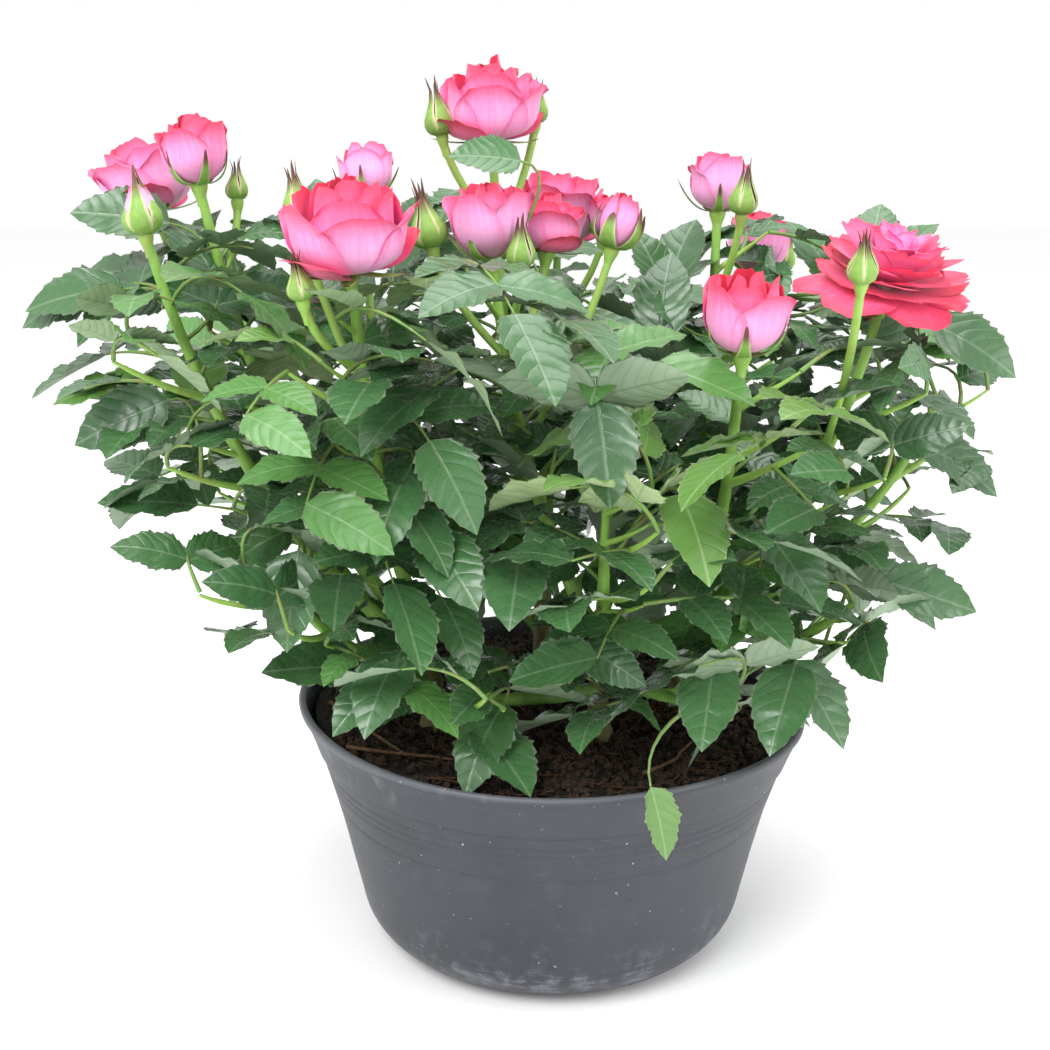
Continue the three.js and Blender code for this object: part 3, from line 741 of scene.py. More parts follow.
twigs, leaves, caneLeaves = [], [], [[] for _ in names]
for own in range(len(names)):
    growCane(own, firstGrowth)
print("first growth:", sum(len(made["leaflets"]) for made in leaves), "leaflets")

# Sprays that hang or reach further than the rest: the tip of the last leaflet, which way it points,
# pairs of side leaflets, and how far the blades turn to the front, in degrees.
reaching = [
    ((-250, -20, 322), (-1, -0.15, -0.25), 2, 40), ((-236, 20, 340), (-1, 0, 0.1), 1, 30),
    ((-229, -40, 291), (-1, -0.2, 0.05), 2, 20), ((-215, -60, 270), (-0.9, -0.3, -0.35), 1, 60),
    ((-209, -50, 240), (-1, -0.1, 0.1), 1, 25), ((-120, -92, 183), (-0.1, -0.5, -0.9), 2, 0),
    ((-160, -60, 207), (-0.85, -0.4, -0.4), 1, 30), ((-131, -80, 168), (-0.9, -0.3, 0.1), 1, 30),
    ((-84, -118, 160), (-0.3, -0.8, -0.35), 1, 0), ((-42, -112, 128), (-0.4, -0.7, -0.5), 2, 0),
    ((-12, -118, 127), (0.5, -0.8, -0.3), 1, 0), ((47, -142, 107), (0.25, -0.28, -0.93), 0, 0),
    ((62, -122, 150), (-0.2, -0.8, -0.5), 1, 0), ((92, -118, 146), (-0.35, -0.7, -0.6), 1, 0),
    ((129, -98, 140), (0.45, -0.6, -0.65), 2, 0), ((217, -22, 296), (0.85, -0.35, -0.45), 2, -45),
    ((213, -25, 240), (0.8, -0.3, -0.4), 1, -30), ((199, -45, 185), (0.9, -0.3, -0.2), 2, -45),
    ((190, -20, 168), (0.7, -0.2, -0.6), 1, -20), ((-20, -150, 215), (-0.1, -0.9, -0.4), 2, 0),
    ((60, -146, 235), (0.2, -0.85, -0.5), 2, 0), ((-75, -140, 245), (-0.3, -0.8, -0.5), 2, 0),
    ((108, -128, 215), (0.4, -0.75, -0.5), 2, 0), ((20, -140, 262), (0.1, -0.6, -0.8), 2, 0),
    ((69, 40, 363), (0.3, 0.5, 0.8), 2, 0), ((43, 30, 359), (-0.3, 0.4, 0.85), 2, 0),
    ((78, 25, 347), (0.7, 0.3, 0.6), 2, 0), ((54, 0, 349), (0.1, 0.35, 0.85), 2, 0),
    ((125, 50, 364), (-0.3, 0.5, 0.75), 2, 0), ((165, 50, 370), (0.2, 0.5, 0.8), 2, 0),
    ((191, 40, 360), (0.7, 0.4, 0.5), 1, 0), ((-181, 0, 370), (-0.5, 0.4, 0.7), 1, 0),
    ((-162, 10, 367), (0.4, 0.4, 0.8), 1, 0), ((-112, 10, 381), (-0.2, 0.4, 0.8), 1, 0),
    ((-66, 10, 378), (0.2, 0.4, 0.8), 1, 0), ((-44, -50, 395), (-0.9, -0.3, 0.15), 0, 55),
    ((-223, -10, 368), (-1, -0.1, 0.15), 1, 50), ((-244, -25, 328), (-1, -0.15, -0.1), 2, 40),
]
# Size with side leaflets and alone, distance from a limb, and the pairs as lengths back from the tip
# and sizes
reachLeaf = {"size": (1.04, 0.72), "away": 40, "pairs": ((0.96, 0.8), (0.45, 0.9)), "least": 0.2}


def layReach(tip, way, pairs, roll):
    way, size = unit(np.array(way, float)), leaf["length"] * reachLeaf["size"][0 if pairs else 1]
    root = np.array(tip, float) - way * size
    limbsNow = [(curve, share) for curve in curves for share in np.linspace(0.3, 0.97, 18)]
    limbsNow += [(side, share) for side, _, end in twigs for share in np.linspace(0.2, end, 5)]
    starts = np.array([curve.at(share) for curve, share in limbsNow])
    away = abs(np.linalg.norm(starts - root, axis=1) - reachLeaf["away"])
    pick = int(np.argmin(away + 0.3 * np.maximum(0, starts[:, 2] - root[2])))
    axil = starts[pick]
    stalk = Bend(axil, root - way * np.linalg.norm(axil - root) * 0.45, root)
    length, kept = stalk.length(), []
    wanted = reachLeaf["pairs"][2 - pairs :]
    wanted = [(1 - back * size / length, side, scale) for back, scale in wanted for side in (1, -1)]
    for share, side, scale in [*wanted, (1.0, 0, 1.0)]:
        if share < reachLeaf["least"]:
            continue
        one = leafletAt(stalk, roll * deg, share, side, size * scale)
        shape = shapeOf(one)
        around = laid.near(shape["middle"], 70)
        if side and not (clearOfPot(shape["probe"]).all() and roomFor(shape, fullGrowth, around)):
            continue
        kept.append(one)
        laid.layBlade(shape)
    laid.layRuns(stalk.points(3), leaf["stalkRadius"])
    leaves.append({"stalk": stalk, "leaflets": kept, "share": limbsNow[pick][1], "tip": False})
    if pick < 18 * len(curves):
        caneLeaves[pick // 18].append(leaves[-1])


for spray in reaching:
    layReach(*spray)
for own in range(len(names)):
    growCane(own, fullGrowth)
print("full growth:", sum(len(made["leaflets"]) for made in leaves), "leaflets")

# Leaves: toothed leaflets on arching stalks
leaflet = {
    "teeth": 10, "notch": 0.93, "tooth": 1.05, "forward": 0.34, "thick": 0.012, "fuller": 1.06, "slim": 0.94,
    "forms": [  # fold up the sides, droop of the tip, wave of the edge
        {"fold": 0.22, "droop": 0.28, "wave": 0.012},
        {"fold": 0.1, "droop": 0.42, "wave": 0.02},
        {"fold": 0.3, "droop": 0.12, "wave": 0.016},
    ],
}


# A closed leaf blade one unit long: rib and edge above, rib below, teeth along both sides
def leafletForm(index, fold, droop, wave):
    teeth = leaflet["teeth"]

    def half(u):
        v = u**0.83
        return leaflet["slim"] * leaf["width"] / 2 * (4 * v * (1 - v)) ** 0.62 * (1 - 0.45 * u**4)

    def lifted(u, y, lift=0.0):
        bend = -droop * max(0.0, u - 0.25) ** 2
        return (u, y, bend + fold * abs(y) + wave * np.sin(u * 19 + index * 2 + (y > 0)) * abs(y) * 6 + lift)

    points, uvs, faces, under = [], [], [], []

    def add(u, y, lift=0.0):
        points.append(lifted(u, y, lift))
        uvs.append((u, 0.5 + y / leaf["width"]))
        return len(points) - 1

    shares = [i / teeth for i in range(teeth + 1)]
    root, tip = add(0, 0), add(1, 0)
    above = [root] + [add(u, 0, leaflet["thick"] * 0.3) for u in shares[1:-1]] + [tip]
    below = [root] + [add(u, 0, -leaflet["thick"]) for u in shares[1:-1]] + [tip]
    for side in (1, -1):
        edge = [root] + [add(u, side * half(u) * leaflet["notch"]) for u in shares[1:-1]] + [tip]
        for i in range(teeth):
            u = shares[i] + (0.5 + leaflet["forward"]) / teeth
            point = add(u, side * half(min(u, 0.995)) * leaflet["tooth"]) if i < teeth - 1 else None
            for ribs, beneath in ((above, 0.0), (below, 1.0)):
                face = [ribs[i], ribs[i + 1], edge[i + 1], edge[i]]
                made = [[v for k, v in enumerate(face) if v not in face[:k]]]
                if point is not None:
                    made.append([edge[i], edge[i + 1], point])
                for f in made:  # both sides start at one corner, so that they bend along one diagonal
                    faces.append(f if (side > 0) != (beneath > 0) else [f[0], *f[:0:-1]])
                    under.append(beneath)
    sharp = [i not in above[1:-1] and i not in below[1:-1] for i in range(len(points))]
    mesh = meshOf(f"leaflet{index}", np.array(points) * 1000, faces, uvs=uvs, sharp=sharp)
    mesh.attributes.new("under", "FLOAT", "FACE").data.foreach_set("value", under)
    return mesh


def leafFinish(name, top, topLight, below, rim, gloss):
    look = Finish(name)
    along, across = look.uv()
    across = (across - 0.5).calc("ABSOLUTE")
    mottle, under = look.noise(90, 4), look.reading("under")
    phase = (along - across * (across + 0.3)) * 6.5  # the side veins sweep forward
    wide = (phase + mottle * 0.5).calc("PINGPONG", 0.5)
    vein, rib = wide.ranged(0.02, 0.11, (1.0, 0.0)), across.ranged(0.008, 0.03, (1.0, 0.0))
    lines = (vein * 0.5).calc("MAXIMUM", rib)
    blade = look.painted(
        top, (look.reading("tint"), topLight), (mottle * 0.35, topLight), (vein * 0.1, top),
        (rib * 0.35, below), (across.ranged(0.38, 0.5) * 0.5, rim))
    back = look.painted(below, (lines * 0.4, topLight))
    rough = look.noise(300, 1).ranged(0.3, 0.7, (gloss - 0.05, gloss + 0.08)) + under * 0.3
    height = (wide * 3.14).calc("SINE") * 0.55 + look.noise(200, 1) * 0.3 - lines * 0.4
    look.fixed({"Specular IOR Level": 0.7})
    return look.done(look.painted(blade, (under, back)), rough, height, 0.0004, 0.7)


leafKinds = {  # top and its light tone, underside, rim and gloss
    "Deep": leafFinish("deepLeaf", "#2e5230", "#4a7645", "#8a9f82", "#5f5c3a", 0.25),
    "Fresh": leafFinish("freshLeaf", "#46763c", "#61944a", "#93aa82", "#7d6c40", 0.3),
    "Young": leafFinish("youngLeaf", "#507c35", "#6a9444", "#a9bf8b", "#94683f", 0.38),
}
# Where the youngest sprays stand: their middles and reach.
youngSprays = [
    (-103, -60, 325, 30), (26, -110, 261, 34), (93, -110, 278, 40), (51, -60, 336, 30), (218, -20, 290, 36),
    (-200, -30, 275, 26), (118, -80, 300, 30), (47, -140, 120, 30),
]


# Deep, fresh or young, by where the spray stands and how near it is to its twig's end
def leafKind(made, draw):
    at = made["stalk"].c
    young = any(np.linalg.norm(at - spray[:3]) < spray[3] for spray in youngSprays)
    pick = draw()
    if young and pick < 0.75:
        return "Young"
    return "Fresh" if pick < 0.1 + 0.2 * made["tip"] + 0.25 * young else "Deep"


# Euler angles of a leaflet that lies along one way with its face to another
def facing(along, normal):
    across = np.cross(normal, along)
    return Matrix(np.column_stack([along, across, normal]).tolist()).to_euler()


forms = collection("leaflets", [leafletForm(i, **form) for i, form in enumerate(leaflet["forms"])])
draw = seeded(501)
dealt = {kind: [] for kind in leafKinds}
stalkLines = []
for made in leaves:
    kind = leafKind(made, draw)
    tone = draw()
    reach = max(one["share"] for one in made["leaflets"])
    stalkLines.append((made["stalk"].at(np.linspace(0, reach, 8)), leaf["stalkRadius"] * np.linspace(1.05, 0.45, 8)))
    for one in made["leaflets"]:
        tint = np.clip(0.65 * tone + 0.35 * draw(), 0, 1)
        turn = facing(one["along"], one["normal"])
        root = made["stalk"].at(one["share"]) - one["along"] * 0.3
        dealt[kind].append((root, tuple(turn), one["length"] * leaflet["fuller"], tint, int(draw() * 3)))
for kind, rows in dealt.items():
    roots, turns, lengths, tints, picks = zip(*rows)
    values = {"turn": turns, "size": np.array(lengths) / 1000, "tint": tints, "form": np.array(picks) + 0.01}
    source = meshOf(f"sprays{kind}", roots, [], values)
    grownLeaves = grown(f"leaves{kind}", source, scatter, {"Forms": forms, "Scale": 1.0, "Finish": leafKinds[kind]})
    piece(grownLeaves, "foliage", *([f"foliage_{name}" for name in names] if kind == "Deep" else []))

# Stems, canes, twigs and stalks
hip = {"length": 11, "stalk": 1.9, "at": (0, 0.25, 0.5, 0.72, 0.9, 1.06), "radii": (1.9, 2.2, 3.0, 4.0, 4.3, 3.4)}
bark = {"relief": 0.0007, "grain": 260.0, "knot": 0.5, "knotEvery": 19.0}


def barkFinish(name, low, high, streak, gloss):
    look = Finish(name)
    grain, spots = look.noise(150, 4, (1, 1, 0.25)), look.noise(700, 2, (1, 1, 0.5))
    body = look.painted(
        low, (look.height().ranged(0.13, 0.2), high), (grain.ranged(0.45, 0.75, (0.0, 0.7)), streak),
        (spots.ranged(0.62, 0.72, (0.0, 0.5)), "#b9b58e"))
    rough = grain.ranged(0.3, 0.7, (gloss - 0.06, gloss + 0.1))
    return look.done(body, rough, grain + spots * 0.4, 0.0006, 0.7)


# Points and radii along a limb, swollen a little at each knot
def knotted(curve, steps, radiusAt, end=1.0):
    shares = np.linspace(0, end, steps + 1)
    swell = np.maximum(0, np.cos(shares * curve.length() / bark["knotEvery"] * 2 * np.pi)) ** 8
    return curve.at(shares), radiusAt(shares) + bark["knot"] * swell * (1 - shares / end * 0.8)


def strandPiece(name, lines, sides, relief, seed, finish, slot, *nodes):
    values = {"Sides": sides, "Relief": relief, "Grain": bark["grain"], "Seed": float(seed), "Finish": finish}
    piece(grown(name, strandMesh(name + "Lines", lines), strands, values), slot, *nodes)


stemLines, caneLines, twigLines = [], [], []
for name in stems:
    curve = stemCurve(name)
    shares = np.linspace(0, 1, 15)
    flare = stem["flare"] * np.maximum(0, 1 - shares / stem["flareHeight"]) ** 2
    radii = stem["footRadius"] + (stem["tipRadius"] - stem["footRadius"]) * shares + flare
    radii[-1] *= 0.75
    stemLines.append((np.vstack([curve.a - up * 3, curve.at(shares)]), [radii[0] + 0.4, *radii]))
for own, curve in enumerate(curves):
    end = 1.0 if heads[own] else max([made["share"] for made in caneLeaves[own]], default=0.8)
    thin = 0.0 if heads[own] else 0.9

    def caneRadius(s):
        return cane["radius"] + (cane["tipRadius"] - cane["radius"]) * s - thin * (s / end) ** 3

    caneLines.append(knotted(curve, int(curve.length() / 3), caneRadius, end))
for curve, radius, end in twigs:
    twigLines.append(knotted(curve, 9, lambda s: radius * (1.1 - 0.68 * s / end), end))
for head in (head for group in heads for head in group):
    if head["stalk"]:
        twigLines.append((head["stalk"].points(9), [hip["stalk"]] * 10))
    spine = [head["at"] + head["lean"] * (reach - 1) * hip["length"] for reach in hip["at"]]
    twigLines.append((spine, np.array(hip["radii"]) * np.clip((head["width"] / 30) ** 0.4, 0.72, 1.05)))
stemFinish = barkFinish("stemBark", "#6d6a3f", "#7a8d4a", "#5b4a2e", 0.62)
caneFinish = barkFinish("caneBark", "#6f9a4a", "#8cbc50", "#628a42", 0.48)
shootFinish = barkFinish("shootBark", "#86b24c", "#9ac65c", "#9c984f", 0.48)
stalkFinish = barkFinish("leafStalk", "#5c7f40", "#6f9448", "#8a6f4a", 0.5)
strandPiece("stems", stemLines, 20, bark["relief"] * 1.6, 3, stemFinish, "stem", *[f"stem_{name}" for name in stems])
strandPiece("canes", caneLines, 12, bark["relief"], 5, caneFinish, "cane", *[f"cane_{name}" for name in names])
strandPiece("twigs", twigLines, 8, bark["relief"] * 0.4, 7, shootFinish, "foliage")
strandPiece("leafStalks", stalkLines, 6, 0.0, 9, stalkFinish, "foliage")

# Blooms: petals and sepals as thin closed shells, in widths of their bloom
# Each ring: petals, then foot, belly and top as (radius, height), half width, roll outwards at the
# rim, how far one edge stands in front of the other, and how red its faces are.
blooms = {
    "cup": [
        (2, (0.1, -0.02), (0.62, -0.02), (0.52, 0.3), 0.34, 0.1, 0.0, 0.5),
        (5, (0.08, 0.0), (0.68, 0.04), (0.42, 0.66), 0.48, 0.12, 0.03, 0.06),
        (4, (0.07, 0.03), (0.58, 0.12), (0.33, 0.74), 0.44, 0.07, 0.05, 0.12),
        (3, (0.06, 0.05), (0.44, 0.22), (0.22, 0.78), 0.36, 0.03, 0.06, 0.22),
        (3, (0.05, 0.07), (0.28, 0.3), (0.1, 0.8), 0.22, 0.0, 0.05, 0.25),
    ],
    "goblet": [
        (4, (0.09, 0.0), (0.7, 0.16), (0.4, 0.9), 0.52, 0.1, 0.03, 0.12),
        (4, (0.07, 0.03), (0.59, 0.25), (0.3, 0.98), 0.44, 0.05, 0.05, 0.22),
        (3, (0.05, 0.05), (0.4, 0.4), (0.14, 1.02), 0.28, 0.0, 0.06, 0.4),
    ],
    "tight": [
        (4, (0.1, 0.0), (0.7, 0.4), (0.24, 1.17), 0.46, 0.02, 0.06, 0.25),
        (3, (0.05, 0.1), (0.4, 0.6), (0.12, 1.22), 0.28, 0.0, 0.06, 0.4),
    ],
    "open": [
        (6, (0.03, 0.03), (0.33, 0.08), (0.5, -0.03), 0.25, 0.0, 0.02, 0.6),
        (7, (0.03, 0.04), (0.33, 0.1), (0.47, 0.08), 0.25, -0.02, 0.03, 0.6),
        (7, (0.03, 0.05), (0.31, 0.14), (0.42, 0.18), 0.24, -0.01, 0.03, 0.55),
        (7, (0.03, 0.06), (0.26, 0.18), (0.34, 0.27), 0.2, 0.02, 0.04, 0.5),
        (6, (0.03, 0.08), (0.2, 0.22), (0.25, 0.34), 0.17, 0.03, 0.04, 0.35),
        (5, (0.03, 0.1), (0.14, 0.26), (0.15, 0.37), 0.13, 0.03, 0.04, 0.15),
        (4, (0.02, 0.1), (0.08, 0.27), (0.07, 0.38), 0.1, 0.02, 0.03, 0.05),
    ],
    "shut": [(4, (0.1, 0.0), (0.66, 0.25), (0.04, 0.95), 0.4, 0.0, 0.04, 0.0)],
    "bud": [
        (4, (0.1, 0.0), (0.72, 0.4), (0.1, 1.2), 0.46, 0.0, 0.06, 0.1),
        (2, (0.05, 0.1), (0.3, 0.7), (0.04, 1.26), 0.2, 0.0, 0.02, 0.4),
    ],
}
sepals = {  # foot, belly, top, half width, how they narrow
    "cup": ((0.1, -0.02), (0.4, -0.06), (0.52, 0.02), 0.1, 1.2),
    "goblet": ((0.12, -0.03), (0.5, -0.02), (0.6, 0.5), 0.13, 1.2),
    "tight": ((0.17, -0.04), (0.76, 0.12), (0.5, 0.95), 0.28, 1.6),
    "open": ((0.07, -0.03), (0.26, -0.08), (0.38, -0.05), 0.06, 1.2),
    "shut": ((0.2, -0.04), (0.95, 0.16), (0.1, 1.85), 0.48, 1.5),
    "bud": ((0.2, -0.04), (0.92, 0.2), (0.16, 1.6), 0.42, 1.6),
}
nod = {"open": (0.05, -0.16, 0.0), "cup": (0.0, -0.12, 0.0)}  # how far a head tips over
petal = {"rows": 10, "columns": 11, "thick": 0.35, "point": 0.1, "ripple": 0.014}
sepal = {"rows": 9, "columns": 5, "thick": 0.5, "foot": 0.8}
uneven = {"turn": 0.25, "size": 0.12, "lift": 0.05, "lean": 0.16, "red": 0.12, "sepalTurn": 0.3}


# A thin closed blade from a grid of points: its points, faces, 1 to 0 for outer to inner, and its rim
def shell(grid, thick):
    rows, columns = grid.shape[:2]
    half = unit(np.cross(np.gradient(grid, axis=1), np.gradient(grid, axis=0)) + 1e-9) * thick / 2
    rim = np.ones((rows, columns), bool)
    rim[1:-1, 1:-1] = False
    outer = np.arange(rows * columns).reshape(rows, columns)
    inner = outer.copy()
    inner[~rim] = rows * columns + np.arange((~rim).sum())
    points = np.vstack([np.where(rim[..., None], grid, grid + half).reshape(-1, 3), (grid - half)[~rim]])
    faces = []
    for table, flip in ((outer, False), (inner, True)):
        for i in range(rows - 1):
            for j in range(columns - 1):
                face = [table[i, j], table[i, j + 1], table[i + 1, j + 1], table[i + 1, j]]
                faces.append([int(v) for v in ([face[0], *face[:0:-1]] if flip else face)])
    outside = np.concatenate([np.where(rim, 0.5, 1.0).ravel(), np.zeros((~rim).sum())])
    return points, faces, outside, rim


# A petal or sepal as a grid of points around +Z, with each point's height in it and its side
def petalGrid(phi, foot, belly, top, wide, roll, ahead, phase, rows, columns, taper=0.18):
    t, s = np.linspace(0, 1, rows)[:, None], np.linspace(-1, 1, columns)[None]
    reach = t * (1 - petal["point"] * np.abs(s) ** 4)
    curve = Bend((*foot, 0), (*belly, 0), (*top, 0)).at(reach)
    radius, height = curve[..., 0], curve[..., 1]
    half = wide * (taper + (1 - taper) * np.sin(np.minimum(1, t / 0.62) * np.pi / 2) ** 0.85)
    half = half * (1 - 0.36 * np.maximum(0, (t - 0.62) / 0.38) ** 3)
    bend = np.maximum(radius * 1.05, wide * 0.55)
    alpha = s * half / bend
    edge = np.maximum(0, reach - 0.68) / 0.32
    ripple = petal["ripple"] * edge * (np.sin(s * 5.3 + phase * 1.7) + 0.6 * np.sin(s * 11 + phase) * edge)
    out = radius - bend * (1 - np.cos(alpha)) + ahead * s * t + ripple
    out += roll * (edge**2 * (1 + 0.5 * s**2) + 0.5 * np.abs(s) ** 3 * t**2)
    rise = height - 0.45 * roll * edge**2 + ripple * 0.8
    aside = bend * np.sin(alpha)
    x, y = out * np.cos(phi) - aside * np.sin(phi), out * np.sin(phi) + aside * np.cos(phi)
    return np.stack([x, y, rise], -1), reach, s + 0 * t


def petalFinish():
    look = Finish("rosePetal")
    u, v = look.uv()
    streak = look.flow("ShaderNodeCombineXYZ", {0: u * 26.0, 1: v * 2.0})
    veins = look.flow("ShaderNodeTexNoise", {"Vector": streak, "Scale": 1.0, "Detail": 2.0}, "Fac")
    share = look.reading("blush") + (veins - 0.5) * 0.3
    share = share.calc("ADD", (look.noise(260, 3) - 0.5) * 0.15, clamp=True)
    ramp = look.flow("ShaderNodeValToRGB", {0: share})
    stops = [(0.0, "#fbb4e6"), (0.22, "#fa9cd2"), (0.45, "#f87aac"), (0.72, "#f5567e"), (1.0, "#ee4260")]
    colours = ramp.socket.node.color_ramp.elements
    while len(colours) < len(stops):
        colours.new(0.5)
    for element, (at, code) in zip(colours, stops):
        element.position, element.color = at, rgba(code)
    body = look.painted(ramp, (v.ranged(0.0, 0.12, (0.6, 0.0)), "#f3e9b8"))
    look.fixed({"Sheen Weight": 0.15, "Sheen Roughness": 0.4, "Specular IOR Level": 0.35})
    return look.done(body, veins * 0.16 + 0.46, veins, 0.0005, 0.5)


def sepalFinish():
    look = Finish("sepalGreen")
    u, v = look.uv()
    grain, side = look.noise(400, 3), (u - 0.5).calc("ABSOLUTE")
    body = look.painted(
        "#6d9a3f", (grain, "#97bd5d"), (side.ranged(0.3, 0.48, (0.0, 0.75)), "#dcd2ae"),
        (v.ranged(0.62, 0.86), "#5f4030"))
    return look.done(body, grain.ranged(0.3, 0.7, (0.5, 0.65)), grain, 0.0004, 0.5)


# Shells joined into one mesh. Petals are redder at the rim and on the inner face.
class Heap:
    def __init__(self):
        self.parts, self.faces, self.count = [], [], 0

    def add(self, grid, reach, side, thick, red):
        points, faces, outside, rim = shell(grid, thick)
        reach, side, edge = (np.concatenate([table.ravel(), table[~rim]]) for table in (reach, side, rim))
        rimmed = np.clip((reach - 0.55) / 0.45, 0, 1) ** 2.4 + 0.4 * np.abs(side) ** 5 * reach
        tone = red * (0.6 + 0.4 * reach) + 0.55 * rimmed + 0.16 * (1 - outside) * (0.3 + 0.7 * reach)
        self.parts.append((points, np.column_stack([(side + 1) / 2, reach]), edge, np.clip(tone, 0, 1)))
        self.faces += [[v + self.count for v in face] for face in faces]
        self.count += len(points)

    def mesh(self, name):
        points, uvs, sharp, tone = (np.concatenate(part) for part in zip(*self.parts))
        return meshOf(name, points, self.faces, {"blush": tone}, uvs, sharp)


# A turn that stands +Z along lean
def standing(lean, spin):
    first = unit(np.cross(up, lean) + np.array([1e-6, 0, 0]))
    across = first * np.cos(spin) + np.cross(lean, first) * np.sin(spin)
    return np.column_stack([across, np.cross(lean, across), lean])


def makeBloom(kind, width, at, lean, seed):
    draw = seeded(seed)

    def vary(what):
        return (draw() - 0.5) * uneven[what]

    place = standing(unit(lean + np.array(nod.get(kind, (0, 0, 0)))), draw() * 6.28)
    own = (draw() - 0.45) * 0.3
    spin = 0.0
    for count, foot, belly, top, wide, roll, ahead, red in blooms[kind]:
        for i in range(count):
            phi = spin + i * 2 * np.pi / count + vary("turn")
            grow = 1 + vary("size")
            lift = vary("lift")
            high = (top[0] * (1 + vary("lean")), top[1] * grow + lift)
            rolled, phase = roll * (0.5 + 1.2 * draw()), draw() * 9
            grid, reach, side = petalGrid(
                phi, foot, belly, high, wide * grow, rolled, ahead, phase, petal["rows"], petal["columns"])
            petals.add(grid @ place.T * width + at, reach, side, petal["thick"], red + own + vary("red"))
        spin += 2.4 / count + 0.3
    foot, belly, top, wide, narrowing = sepals[kind]
    for i in range(5):
        phi = i * 2 * np.pi / 5 + vary("sepalTurn")
        high = (top[0] * (0.7 + 0.6 * draw()), top[1] * (0.9 + 0.2 * draw()))
        grid, reach, side = petalGrid(
            phi, foot, belly, high, wide, 0.0, 0.0, draw() * 9, sepal["rows"], sepal["columns"], sepal["foot"])
        narrow = 1 - 0.93 * reach[..., None] ** narrowing
        fork = (0.1 + 0.2 * draw()) * np.maximum(0, reach[..., None] / 0.25 - 3) ** 2
        if kind in ("shut", "bud"):
            grid[..., :2] *= 1 - 0.85 * np.clip((reach[..., None] - 0.45) / 0.55, 0, 1) ** 1.1
        if kind == "shut":
            grid[..., :2] += fork * level(phi)[:2]
        middle = grid[:, 2:3]
        grid = middle + (grid - middle) * narrow
        greens.add(grid @ place.T * width + at, reach, side, sepal["thick"], 0.0)


petals, greens = Heap(), Heap()
for own, group in enumerate(heads):
    for k, head in enumerate(group):
        kind = "tight" if head["kind"] == "goblet" and head["width"] == 20 else head["kind"]
        kind = "shut" if kind == "bud" and head["width"] < 17 else kind
        makeBloom(kind, head["width"], head["at"], head["lean"], own * 10 + k + 701)
piece(placed(petals.mesh("petals"), petalFinish()), "foliage")
piece(placed(greens.mesh("sepals"), sepalFinish()), "foliage")

# The pot: its pressed rings, the flare over its collar, its rim and lip, and its inside
potLook = {
    "rings": (94.5, 90.5, 86.5, 77.0), "ringDepth": 0.65, "ringWidth": 0.75, "flare": [(119.6, 108), (121.6, 114)],
    "rim": [(1.5, 5), (1, 4.4), (0.1, 3.4), (-0.1, 2), (0.2, 0.8), (0.9, 0)],  # in from the rim and down
    "lip": [(0, 0), (0.9, 0.4), (1.2, 5)], "inside": [(100, 26), (96, 14), (86, 6)],
}


def smoothstep(value, low, high):
    share = np.clip((value - low) / (high - low), 0, 1)
    return share * share * (3 - 2 * share)


def warped(p):
    x, y, z = p.T
    radius = np.maximum(np.hypot(x, y), 1e-9)
    share = smoothstep(z, warp["from"], pot["height"])
    side = np.where(radius > soil["level"] + 1, (x / radius) ** 3 * share, 0)
    wider = x * (1 + warp["wider"] * share) + warp["out"] * side
    return np.column_stack([wider, y * (1 - warp["narrower"] * share), z - warp["lift"] * side])


# A closed body turned from (radius, height) points, bent as the soft rim is
def turned(name, profile, sides):
    turn = np.linspace(0, 2 * np.pi, sides, endpoint=False)
    rings = [np.column_stack([r * np.cos(turn), r * np.sin(turn), np.full(sides, z)]) for r, z in profile[1:-1]]
    points = warped(np.vstack([[(0, 0, profile[0][1])], *rings, [(0, 0, profile[-1][1])]]))
    last, top, faces = len(points) - 1, 1 + (len(rings) - 1) * sides, []
    for i in range(sides):
        j = (i + 1) % sides
        faces.append([0, 1 + j, 1 + i])
        faces += [[low + i, low + j, low + sides + j, low + sides + i] for low in range(1, top, sides)]
        faces.append([top + i, top + j, last])
    return meshOf(name, points, faces)


def potProfile():
    corner, height, rim, inner = pot["footCorner"], pot["height"], pot["rimRadius"], pot["rimRadius"] - pot["wall"]
    foot, collar = pot["footRadius"] - corner, pot["collarRadius"]
    collarTop, step = pot["collarHeight"], pot["collarStep"]
    points = [(0, 0), (foot * 0.6, 0), (foot - 4, 0)]
    for angle in np.linspace(0, pot["footTurn"], 11) * deg:
        points.append((foot + corner * np.sin(angle), corner * (1 - np.cos(angle))))
    low = points[-1]
    for z in np.linspace(low[1] + 3, collarTop - 1.2, 90):
        dent = sum(np.exp(-(((z - ring) / potLook["ringWidth"]) ** 2)) for ring in potLook["rings"])
        wide = low[0] + (collar - low[0]) * (z - low[1]) / (collarTop - low[1])
        points.append((wide - potLook["ringDepth"] * dent, z))
    points += [(collar - 0.1, collarTop), (collar + step * 0.7, collarTop + 0.5), (collar + step, collarTop + step)]
    points += potLook["flare"] + [(rim - back, height - down) for back, down in potLook["rim"]]
    points += [(inner - back, height - down) for back, down in potLook["lip"]]
    points += [(117.6, 105), (collar - pot["wall"], 100)] + potLook["inside"]
    return points + [(wide, pot["floor"]) for wide in (76, 40, 0)]


